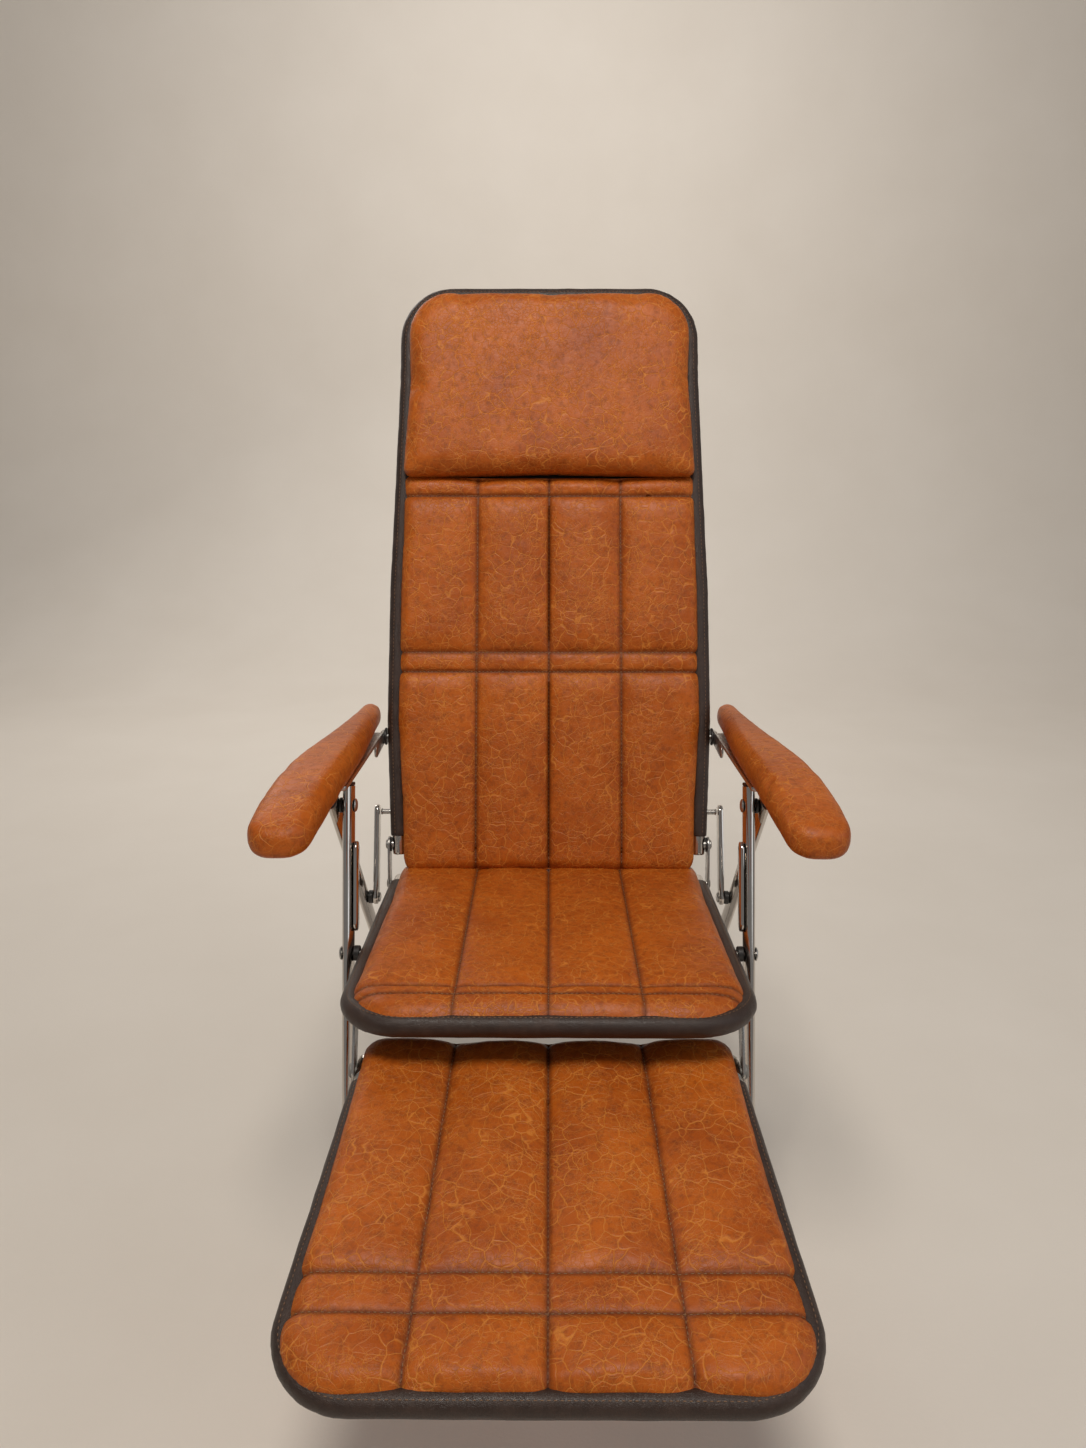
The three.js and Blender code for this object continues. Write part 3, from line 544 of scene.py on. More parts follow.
@dataclass(frozen=True)
class Run:
    """A flat bent line: corners of (x, y, bend radius) in millimetres."""

    corners: tuple[tuple[float, float, float], ...]

    def bends(self) -> list[tuple[Vector, Vector | None, float]]:
        """The run's straight ends and bends.

        Returns:
            For each corner the point where its bend starts, the bend's centre and its turn in radians.
        """
        points = [Vector((x, y, 0)) for x, y, _ in self.corners]
        found: list[tuple[Vector, Vector | None, float]] = [(points[0], None, 0.0)]
        for before, here, after, (_, _, radius) in zip(points, points[1:], points[2:], self.corners[1:]):
            back, ahead = (before - here).normalized(), (after - here).normalized()
            half = back.angle(ahead) / 2
            start = here + back * radius / math.tan(half)
            centre = here + (back + ahead).normalized() * radius / math.sin(half)
            turn = math.copysign(math.pi - 2 * half, (-back).cross(ahead).z)
            found.append((start, centre, turn))
        found.append((points[-1], None, 0.0))
        return found

    def swept(self, section: Section, inward: int, step: float = 7.0) -> bmesh.types.BMesh:
        """Bends a tube along the run.

        Args:
            section: the tube's outline.
            inward: 1 where the inside of the run is on the right of its direction, -1 on the left.
            step: degrees turned by each step of a bend.

        Returns:
            The closed tube, in millimetres.
        """
        form = bmesh.new()
        bends = self.bends()
        at = bends[0][0]
        heading = (Vector(self.corners[1][:2] + (0,)) - at).normalized()
        ring = section.ring(form, at, Vector((heading.y, -heading.x, 0)) * inward)
        edges = list({edge for point in ring for edge in point.link_edges})
        bmesh.ops.contextual_create(form, geom=edges)
        for start, centre, turn in bends[1:]:
            drawn = bmesh.ops.extrude_edge_only(form, edges=edges)["geom"]
            bmesh.ops.translate(form, vec=start - at, verts=verts_of(drawn))
            at = start
            edges = [edge for edge in edges_of(drawn) if len(edge.link_faces) == 1]
            if centre is None:
                continue
            steps = max(2, math.ceil(abs(math.degrees(turn)) / step))
            points = list({point for edge in edges for point in edge.verts})
            last = bmesh.ops.spin(form, geom=edges + points, cent=centre, axis=(0, 0, 1), angle=turn,
                                  steps=steps)["geom_last"]
            edges = edges_of(last)
            at = centre + Matrix.Rotation(turn, 3, "Z") @ (at - centre)
        bmesh.ops.contextual_create(form, geom=edges)
        return settled(form)

    def stations(self, spacing: float) -> list[tuple[Vector, Vector]]:
        """Evenly spaced points of the run with their headings.

        Args:
            spacing: distance between two points.

        Returns:
            Point and heading pairs.
        """
        dense: list[Vector] = []
        for start, centre, turn in self.bends():
            dense.append(start)
            if centre is not None:
                dense += [centre + Matrix.Rotation(turn * part / 12, 3, "Z") @ (start - centre)
                          for part in range(1, 13)]
        found, spare = [], 0.0
        for one, two in zip(dense, dense[1:]):
            span = (two - one).length
            heading = (two - one).normalized()
            while spare <= span:
                found.append((one + heading * spare, heading))
                spare += spacing
            spare -= span
        return found

    def trimmed(self, length: float) -> "Run":
        """The same run with both of its ends shortened."""
        corners = [Vector(corner) for corner in self.corners]
        for end, near in ((0, 1), (-1, -2)):
            flat = (corners[near] - corners[end]).to_2d().normalized() * length
            corners[end] += Vector((flat.x, flat.y, 0))
        return Run(tuple(tuple(corner) for corner in corners))


def turned(profile: Sequence[tuple[float, float]], spot: Spot, sign: int, closed: bool = False,
           steps: int = 32) -> bmesh.types.BMesh:
    """Turns a profile about a line across the chair.

    Args:
        profile: (distance from the chair's middle, radius) pairs in millimetres.
        spot: where the line crosses the side plane.
        sign: the side of the chair.
        closed: whether the profile closes on itself, as for a washer.
        steps: faces round the piece.

    Returns:
        The turned form, in metres.
    """
    form = bmesh.new()
    points = [form.verts.new((sign * out * MM, 0, radius * MM)) for out, radius in profile]
    pairs = list(zip(points, points[1:])) + ([(points[-1], points[0])] if closed else [])
    edges = [form.edges.new(pair) for pair in pairs]
    bmesh.ops.spin(form, geom=points + edges, cent=(0, 0, 0), axis=(1, 0, 0), angle=math.tau, steps=steps,
                   use_merge=True)
    bmesh.ops.translate(form, vec=(0, spot.y, spot.z), verts=form.verts)
    return settled(form)


def washer(inner: float, outer: float, bore: float, radius: float, spot: Spot, sign: int) -> bmesh.types.BMesh:
    """A spacer with softened rims, from inner to outer across the chair."""
    soft = min(0.8, (outer - inner) / 4)
    return turned([
        (inner, bore), (inner, radius - soft), (inner + soft, radius), (outer - soft, radius),
        (outer, radius - soft), (outer, bore),
    ], spot, sign, closed=True)


def bolt(tail: float, face: float, head: float, radius: float, spot: Spot, sign: int, shank: float = 3.5,
         nut: float | None = None) -> bmesh.types.BMesh:
    """A bolt with a domed head and, if asked, a domed nut at its tail.

    Args:
        tail: where the shank ends.
        face: where the head's flat face is.
        head: where its dome ends.
        radius: the head's radius.
        spot: where the bolt crosses the side plane.
        sign: the side of the chair.
        shank: the shank's radius.
        nut: where the nut's dome ends, with its face at the tail.

    Returns:
        The bolt, in metres.
    """
    def dome(flat: float, top: float) -> list[tuple[float, float]]:
        """The dome's profile from its rim to its crown."""
        tall = top - flat
        return [(flat + tall * high, radius * wide) for high, wide in (
            (0, 0.97), (0.12, 1.0), (0.4, 0.96), (0.62, 0.84), (0.82, 0.6), (0.95, 0.3), (1.0, 0.0))]

    start = [(tail, 0.0), (tail, shank)] if nut is None else [
        *reversed(dome(tail, nut)), (tail, shank)]
    return turned([*start, (face, shank), *dome(face, head)], spot, sign)


def strap(inner: float, outer: float, start: Spot, end: Spot, half: float, sign: int,
          soft: float = 0.6) -> bmesh.types.BMesh:
    """A flat bar with round ends between two points of the side plane.

    Args:
        inner: its face nearer the chair's middle.
        outer: its other face.
        start: middle of one round end.
        end: middle of the other.
        half: half its width.
        sign: the side of the chair.
        soft: how far its rims are rounded.

    Returns:
        The bar, in metres.
    """
    form = bmesh.new()
    run = Vector((end.y - start.y, end.z - start.z)) / MM
    ring = bmesh.ops.create_circle(form, cap_ends=True, segments=40, radius=half)["verts"]
    for point in ring:
        if point.co.x > 0.01:
            point.co.x += run.length
    edge_pairs = [edge for edge in form.edges if abs(edge.verts[0].co.x - edge.verts[1].co.x) > half]
    bmesh.ops.subdivide_edges(form, edges=edge_pairs, cuts=1)
    raised = bmesh.ops.extrude_face_region(form, geom=list(form.faces))["geom"]
    bmesh.ops.translate(form, vec=(0, 0, outer - inner), verts=verts_of(raised))
    rounded(form, [edge for edge in form.edges if abs(edge.verts[0].co.z - edge.verts[1].co.z) < 1e-4
                   and edge.calc_face_angle(0.0) > 0.5], soft, 2)
    turn = Matrix.Rotation(math.atan2(run.y, run.x), 4, "Z")
    across = Matrix(((0, 0, sign, 0), (1, 0, 0, 0), (0, 1, 0, 0), (0, 0, 0, 1)))
    shift = Matrix.Translation((sign * inner * MM, start.y, start.z))
    bmesh.ops.transform(form, matrix=shift @ across @ Matrix.Scale(MM, 4) @ turn, verts=form.verts)
    return settled(form)


class Seamstress:
    """Sews lines of small stitches, one mesh for each line set."""

    def __init__(self, length: float = 3.6, width: float = 0.85) -> None:
        """Sets the size of a stitch in millimetres."""
        self.size = Vector((length / 2, width / 2, width * 0.45))
        self.form = bmesh.new()

    def stitch(self, at: Vector, heading: Vector, up: Vector) -> None:
        """Adds one stitch at a point, along a heading, on a face that looks up."""
        along = (heading - up * heading.dot(up)).normalized()
        frame_here = Matrix((along, up.cross(along), up)).transposed().to_4x4()
        size = Matrix.Diagonal((*self.size, 1))
        bmesh.ops.create_uvsphere(self.form, u_segments=6, v_segments=4, radius=1.0,
                                  matrix=Matrix.Translation(at) @ frame_here @ size)

    def finished(self, name: str, plane: Plane, finish: Finish, body: str) -> bpy.types.Object:
        """Places the sewn lines on the chair."""
        bmesh.ops.transform(self.form, matrix=plane.matrix(), verts=self.form.verts)
        return put(name, self.form, finish, body, sharp=80.0)


# ------------------------------------------------------------------ cushions


@dataclass(frozen=True)
class Quilting:
    """Sewn channels of a cushion.

    near and far give the seams' places across the cushion at its two ends, and rows the seams across it.
    """

    near: tuple[float, ...] = ()
    far: tuple[float, ...] = ()
    rows: tuple[float, ...] = ()
    depth: float = 11.0
    narrow_depth: float = 6.5
    plumpness: float = 0.42


@dataclass(frozen=True)
class Padding:
    """A cushion's form: its flat outline and how it is stuffed, in millimetres."""

    name: str
    node: str
    body: str
    outline: tuple[tuple[float, float, float], ...]
    low: float
    high: float
    round: float
    quilting: Quilting = Quilting()
    voxel: float = 5.0
    swell: float = 5.0
    fill: float = 0.7
    pucker: float = 0.75
    crown: float = 0.0
    skirt: float = 0.0
    droop_from: float = 0.0
    droop: float = 0.0

    def span(self) -> tuple[float, float]:
        """The outline's lowest and highest place along the cushion."""
        along = [corner[1] for corner in self.outline]
        return min(along), max(along)

    def cut_out(self, height: float) -> bmesh.types.BMesh:
        """The outline as one flat face with rounded corners, in millimetres."""
        form = bmesh.new()
        points = [form.verts.new((x, y, height)) for x, y, _ in self.outline]
        form.faces.new(points)
        for point, (_, _, radius) in zip(points, self.outline):
            if radius:
                bmesh.ops.bevel(form, geom=[point], offset=radius, offset_type="OFFSET", segments=8,
                                profile=0.5, affect="VERTICES", material=-1)
        return form

    def rim(self) -> np.ndarray:
        """Points round the rounded outline, in order."""
        form = self.cut_out(0.0)
        found = np.array([point.co[:2] for face in form.faces for point in face.verts])
        form.free()
        return found

    def blank(self) -> bmesh.types.BMesh:
        """The cut and boxed cushion before it is stuffed.

        Returns:
            A closed slab with rounded corners and rims, in millimetres.
        """
        base = self.low + self.swell * 0.4
        form = self.cut_out(base)
        raised = bmesh.ops.extrude_face_region(form, geom=list(form.faces))["geom"]
        bmesh.ops.translate(form, vec=(0, 0, self.high - self.swell * 0.75 - base), verts=verts_of(raised))
        rims = [edge for edge in form.edges if abs(edge.verts[0].co.z - edge.verts[1].co.z) < 1e-4]
        rounded(form, rims, self.round, 4)
        return settled(form)

    def stuffed(self) -> bpy.types.Mesh:
        """Remeshes the blank evenly and blows it up as cloth.

        Returns:
            The stuffed mesh, in millimetres.
        """
        raw = bpy.data.meshes.new(self.name + "_blank")
        form = self.blank()
        bmesh.ops.scale(form, vec=(MM,) * 3, verts=form.verts)
        form.to_mesh(raw)
        form.free()
        dummy = bpy.data.objects.new(self.name + "_blank", raw)
        bpy.context.scene.collection.objects.link(dummy)
        remesh = dummy.modifiers.new("even", "REMESH")
        remesh.mode = "VOXEL"
        remesh.voxel_size = self.voxel * MM
        dummy.data = self._evaluated(dummy)
        dummy.modifiers.clear()
        self._blow_up(dummy)
        smooth = dummy.modifiers.new("finer", "SUBSURF")
        smooth.levels = smooth.render_levels = 1
        mesh = self._evaluated(dummy)
        mesh.transform(Matrix.Scale(1 / MM, 4))
        bpy.data.objects.remove(dummy)
        return mesh

    @staticmethod
    def _evaluated(piece: bpy.types.Object) -> bpy.types.Mesh:
        """The piece's mesh with its modifiers applied."""
        depsgraph = bpy.context.evaluated_depsgraph_get()
        return bpy.data.meshes.new_from_object(piece.evaluated_get(depsgraph), depsgraph=depsgraph)

    def _blow_up(self, piece: bpy.types.Object) -> None:
        """Runs the cloth with pressure inside and no weight, and caps how far each point went."""
        count = len(piece.data.vertices)
        before = np.empty(count * 3)
        piece.data.vertices.foreach_get("co", before)
        cloth = piece.modifiers.new("stuffing", "CLOTH")
        cloth.settings.use_pressure = True
        cloth.settings.uniform_pressure_force = 4.0
        cloth.settings.quality = 4
        cloth.settings.mass = 0.3
        cloth.settings.tension_stiffness = 12.0
        cloth.settings.compression_stiffness = 12.0
        cloth.settings.bending_stiffness = 0.6
        cloth.settings.effector_weights.gravity = 0.0
        cloth.point_cache.frame_start = 1
        cloth.point_cache.frame_end = 20
        scene = bpy.context.scene
        for number in range(1, 21):
            scene.frame_set(number)
        mesh = self._evaluated(piece)
        after = np.empty(count * 3)
        mesh.vertices.foreach_get("co", after)
        scene.frame_set(1)
        piece.modifiers.clear()
        moved = (after - before).reshape(-1, 3)
        moved[:, :2] *= 0.3  # the cover is sewn round its frame, so its sides draw in only a little
        far = np.linalg.norm(moved, axis=1, keepdims=True) + 1e-9
        cap = self.swell * MM
        piece.data.vertices.foreach_set("co", (before.reshape(-1, 3) + moved / far * cap * np.tanh(far / cap)).ravel())
        piece.data.update()


class Cushion:
    """A stuffed, quilted and sewn cushion on its plane."""

    def __init__(self, padding: Padding, plane: Plane) -> None:
        """Takes the cushion's form and where it lies."""
        self.padding = padding
        self.plane = plane

    def seams_at(self, along: np.ndarray) -> np.ndarray:
        """Places of the lengthwise seams at given distances along the cushion.

        Args:
            along: distances along the cushion.

        Returns:
            One row of places for each distance.
        """
        low, high = self.padding.span()
        share = np.clip((along - low) / (high - low), 0, 1)[:, None]
        near, far = (np.array(ends)[None, :] for ends in (self.padding.quilting.near, self.padding.quilting.far))
        return near * (1 - share) + far * share

    def fullness(self, across: np.ndarray, along: np.ndarray) -> tuple[np.ndarray, np.ndarray, np.ndarray]:
        """How full the stuffing stands at each point.

        Args:
            across: places across the cushion.
            along: places along it.

        Returns:
            Depth of the surface under a full channel, nearness to a seam from 0 to 1, and distance to it.
        """
        quilting = self.padding.quilting
        low, high = self.padding.span()
        rows = np.array((low, *quilting.rows, high))
        index = np.clip(np.searchsorted(rows, along) - 1, 0, len(rows) - 2)
        start, end = rows[index], rows[index + 1]
        open_start, open_end = index == 0, index == len(rows) - 2
        to_start = np.where(open_start, 1e3, along - start)
        to_end = np.where(open_end, 1e3, end - along)
        to_row = np.minimum(to_start, to_end)
        narrow = (end - start) < 45
        if quilting.near:
            seams = self.seams_at(along)
            gaps = np.abs(across[:, None] - seams)
            to_seam = gaps.min(1)
            pitch = np.abs(np.diff(seams, axis=1)).mean(1) if seams.shape[1] > 1 else np.full(len(along), 190.0)
        else:
            to_seam = np.full(len(along), 1e3)
            pitch = np.full(len(along), 200.0)
        half = pitch / 2
        plump_across = np.clip(to_seam / half, 0, 1)
        plump_across = (1 - (1 - plump_across) ** 2.2) ** quilting.plumpness
        reach = np.where(narrow, (end - start) / 2, 34.0)
        plump_along = np.clip(to_row / reach, 0, 1)
        plump_along = (1 - (1 - plump_along) ** 2.2) ** quilting.plumpness
        full = plump_across * plump_along
        depth = np.where(narrow, quilting.narrow_depth * (1 - full) + (quilting.depth - quilting.narrow_depth) * 0.7,
                         quilting.depth * (1 - full))
        nearest = np.minimum(to_seam, to_row)
        return depth, np.exp(-(nearest / 2.4) ** 1.5), nearest

    def puckers(self, across: np.ndarray, along: np.ndarray, nearest: np.ndarray) -> np.ndarray:
        """Small gathers that run away from the seams, and soft dents between them."""
        points = zip(across, along)
        values = np.array([
            noise.noise(Vector((x * 0.055, y * 0.075, 3.1))) * 0.9
            + noise.noise(Vector((x * 0.16, y * 0.21, 7.7))) * 0.45 for x, y in points])
        gather = np.array([noise.noise(Vector((x * 0.11, y * 0.36, 1.3))) for x, y in zip(across, along)])
        close = np.exp(-nearest / 13.0)
        return self.padding.pucker * (values * 0.55 + gather * close * 1.25)

    def build(self) -> bpy.types.Object:
        """Stuffs, quilts, sews and places the cushion.

        Returns:
            The cushion.
        """
        padding = self.padding
        mesh = padding.stuffed()
        count = len(mesh.vertices)
        flat = np.empty(count * 3)
        mesh.vertices.foreach_get("co", flat)
        points = flat.reshape(-1, 3)
        middle = (padding.low + padding.high) / 2
        top = np.clip((points[:, 2] - middle) / (padding.high - middle) * 1.6, 0, 1)
        top = top * top * (3 - 2 * top)
        self.lift_skirt(points)
        depth, closeness, nearest = self.fullness(points[:, 0], points[:, 1])
        low, high = padding.span()
        share = (points[:, 1] - low) / (high - low)
        crown = padding.crown * np.sin(np.pi * np.clip(share, 0, 1)) ** 0.8
        points[:, 2] += top * (crown - depth + self.puckers(points[:, 0], points[:, 1], nearest))
        past = np.clip((padding.droop_from - points[:, 1]) / (padding.droop_from - low + 1e-6), 0, 1)
        points[:, 2] -= padding.droop * past ** 2
        mesh.vertices.foreach_set("co", points.ravel())
        # the seam mask drives the painted shade along the seams, and a rougher finish there
        seam = mesh.attributes.new("seam", "FLOAT", "POINT")
        seam.data.foreach_set("value", (closeness * top).astype(np.float32))
        form = bmesh.new()
        form.from_mesh(mesh)
        tree = BVHTree.FromBMesh(form)
        self.sew(tree)
        bmesh.ops.transform(form, matrix=self.plane.matrix(), verts=form.verts)
        piece = put(padding.name, form, LEATHER, padding.body, [padding.node], sharp=120.0)
        bpy.data.meshes.remove(mesh)
        return piece

    def lift_skirt(self, points: np.ndarray) -> None:
        """Raises the underside near the rim on to the tube that the cover is stretched over.

        Args:
            points: the cushion's points, changed in place.
        """
        padding = self.padding
        if not padding.skirt:
            return
        rim = padding.rim()
        step = np.roll(rim, -1, axis=0) - rim
        length = (step ** 2).sum(1)
        nearest = np.full(len(points), 1e9)
        for start, way, square in zip(rim, step, length):
            away = points[:, :2] - start
            share = np.clip(away @ way / max(square, 1e-9), 0, 1)[:, None]
            nearest = np.minimum(nearest, np.linalg.norm(away - share * way, axis=1))
        near = np.clip((padding.skirt - nearest) / (padding.skirt * 0.5), 0, 1)
        floor = padding.low + (4.0 - padding.low) * near * near * (3 - 2 * near)
        points[:, 2] = np.maximum(points[:, 2], floor)

    def sew(self, tree: BVHTree) -> None:
        """Runs stitches along every seam, laid on the stuffed surface."""
        quilting = self.padding.quilting
        if not (quilting.near or quilting.rows):
            return
        low, high = self.padding.span()
        left = min(corner[0] for corner in self.padding.outline) + self.padding.round + 2
        lines: list[tuple[Vector, Vector]] = []
        pitch = 5.4
        for along in np.arange(low + self.padding.round + 4, high - self.padding.round - 4, pitch):
            for place in self.seams_at(np.array([along]))[0] if quilting.near else ():
                lines.append((Vector((place, along, 0)), Vector((0, 1, 0))))
        for row in quilting.rows:
            lines += [(Vector((place, row, 0)), Vector((1, 0, 0))) for place in np.arange(left, -left, pitch)]
        seamstress = Seamstress()
        for spot, heading in lines:
            hit, normal, _, _ = tree.ray_cast(Vector((spot.x, spot.y, 200)), Vector((0, 0, -1)))
            if hit is not None and normal.z > 0.3:
                seamstress.stitch(hit + normal * 0.25, heading, normal)
        seamstress.finished(self.padding.name + "_stitches", self.plane, THREAD, self.padding.body)


@dataclass(frozen=True)
class Binding:
    """Vinyl wrapped round a frame tube and sewn along the cushion's edge."""

    name: str
    node: str
    body: str
    run: Run
    inward: int
    radius: float

    def build(self, plane: Plane) -> bpy.types.Object:
        """Makes the wrap, its gathers at the corners and its line of stitches.

        Args:
            plane: where the frame lies.

        Returns:
            The wrap.
        """
        section = Section(2 * self.radius, 2 * self.radius, 40)
        form = self.run.swept(section, self.inward, step=3.0)
        long_edges = [edge for edge in form.edges if edge.calc_length() > 14]
        bmesh.ops.subdivide_edges(form, edges=long_edges, cuts=14, use_grid_fill=True)
        ends = [edge for edge in form.edges if edge.calc_face_angle(0.0) > 1.2]
        rounded(form, ends, 2.2, 3)
        form.normal_update()
        for point in form.verts:
            ripple = noise.noise(point.co * 0.09) * 0.5 + noise.noise(point.co * 0.31) * 0.28
            point.co += point.normal * ripple
        bmesh.ops.transform(form, matrix=plane.matrix(), verts=form.verts)
        piece = put(self.name, form, VINYL, self.body, [self.node], sharp=75.0)
        seamstress = Seamstress(3.4, 0.8)
        for at, heading in self.run.trimmed(6).stations(5.2):
            outside = Vector((-heading.y, heading.x, 0)) * self.inward
            up = (Vector((0, 0, 1)) + outside * 0.42).normalized()
            seamstress.stitch(at + up * (self.radius + 0.2), heading, up)
        seamstress.finished(self.name + "_stitches", plane, DARK_THREAD, self.body)
        return piece


# ------------------------------------------------------------------ sub-assemblies


@dataclass(frozen=True)
class LegArch:
    """One pair of legs: an arch of oval tube with glides and end plugs."""

    prefix: str
    body: str
    tilt: Tilt
    lean: float
    across: float
    along: float
    centre: float
    top: float
    corner: float = 55.0
    glide_at: float = 150.0
    glide_length: float = 34.0
    glide_wall: float = 3.0

    def fall(self, top_bolt: Spot) -> float:
        """Length from the top bolt down to the middle of the floor tube."""
        lean = math.radians(self.lean)
        reach = math.hypot((self.across / 2 + 3.3) * math.cos(lean), (self.along / 2 + 3.3) * math.sin(lean))
        return (top_bolt.z / MM - reach) / math.cos(lean)

    def build(self, marks: Landmarks) -> None:
        """Makes the arch, its glides and its plugs."""
        plane = Plane(marks.top_bolt, self.tilt)
        fall = self.fall(marks.top_bolt)
        run = Run(((-self.centre, self.top, 0), (-self.centre, -fall, self.corner),
                   (self.centre, -fall, self.corner), (self.centre, self.top, 0)))
        form = run.swept(Section(self.along, self.across, 48), inward=-1, step=3.0)
        rounded(form, [edge for edge in form.edges if edge.calc_face_angle(0.0) > 1.2], 0.6, 2)
        bmesh.ops.transform(form, matrix=plane.matrix(), verts=form.verts)
        put(f"{self.prefix}_leg_tube", form, CHROME, self.body, [f"{self.prefix}_leg_frame"])
        for side in Side:
            self.glide(plane, side, fall)
            self.plug(plane, side)

    def glide(self, plane: Plane, side: Side, fall: float) -> None:
        """A ribbed rubber sleeve on the floor tube."""
        middle, half = side.value * self.glide_at, self.glide_length / 2
        grown = 2 * (0.3 + self.glide_wall)
        run = Run(((middle - half, -fall, 0), (middle + half, -fall, 0)))
        form = run.swept(Section(self.along + grown, self.across + grown, 40), inward=1)
        rims = [edge for edge in form.edges if edge.calc_face_angle(0.0) > 1.2]
        rounded(form, rims, 1.6, 3)
        long_edges = [edge for edge in form.edges if edge.calc_length() > self.glide_length / 2]
        bmesh.ops.subdivide_edges(form, edges=long_edges, cuts=20, use_grid_fill=True)
        for point in form.verts:
            if abs(point.co.x - middle) < half - 5:
                groove = 0.5 * (1 + math.cos((point.co.x - middle) / (half - 4) * math.pi * 5))
                inward = Vector((0, point.co.y + fall, point.co.z)).normalized()
                point.co -= inward * 0.8 * groove ** 3
        bmesh.ops.transform(form, matrix=plane.matrix(), verts=form.verts)
        name = f"{self.prefix}_glide_{side.word}"
        put(name + "_sleeve", form, RUBBER, self.body, [name])

    def plug(self, plane: Plane, side: Side) -> None:
        """A flat plug with a softened rim on the open end of a leg."""
        x = side.value * self.centre
        run = Run(((x, self.top + 0.3, 0), (x, self.top + 4.3, 0)))
        form = run.swept(Section(self.along, self.across, 40), inward=1)
        rounded(form, [edge for edge in form.edges if edge.calc_face_angle(0.0) > 1.2], 1.1, 3)
        bmesh.ops.transform(form, matrix=plane.matrix(), verts=form.verts)
        name = f"{self.prefix}_leg_plug_{side.word}"
        put(name + "_cap", form, BLACK, self.body, [name])


@dataclass(frozen=True)
class Joinery:
    """The bolts, spacers and stop strips that hold the two pairs of legs and the seat together."""

    front_inner: float = 229.0
    front_outer: float = 243.0
    rear_inner: float = 247.0
    rear_outer: float = 260.0

    def build(self, marks: Landmarks) -> None:
        """Makes both sides' fittings."""
        strip_plane = Plane(marks.seat_pivot, Tilt.FRONT_LEGS)
        for side in Side:
            sign, word = side.value, side.word
            put(f"leg_bolt_{word}", bolt(
                self.rear_outer + 0.3, self.front_inner - 0.3, self.front_inner - 3.5, 8.0, marks.top_bolt, sign,
                nut=self.rear_outer + 3.5), ZINC, "front_base", [f"top_bolt_{word}"])
            put(f"leg_spacer_{word}", washer(
                self.front_outer + 0.3, self.rear_inner - 0.3, 3.8, 9.0, marks.top_bolt, sign),
                BLACK, "front_base", [f"top_spacer_{word}"])
            put(f"pivot_bolt_{word}", bolt(
                203.0, self.front_outer + 0.3, self.front_outer + 3.4, 8.0, marks.seat_pivot, sign),
                ZINC, "front_base", [f"seat_bolt_{word}"])
            put(f"pivot_spacer_{word}", washer(
                221.6, self.front_inner - 0.3, 3.8, 9.0, marks.seat_pivot, sign),
                BLACK, "front_base", [f"seat_spacer_{word}"])
            put(f"rest_strip_{word}", strap(
                self.front_inner - 4.7, self.front_inner - 0.3, strip_plane.spot_at(36), strip_plane.spot_at(122),
                10.0, sign, 1.6), CHROME, "front_base", [f"stop_strip_{word}"])


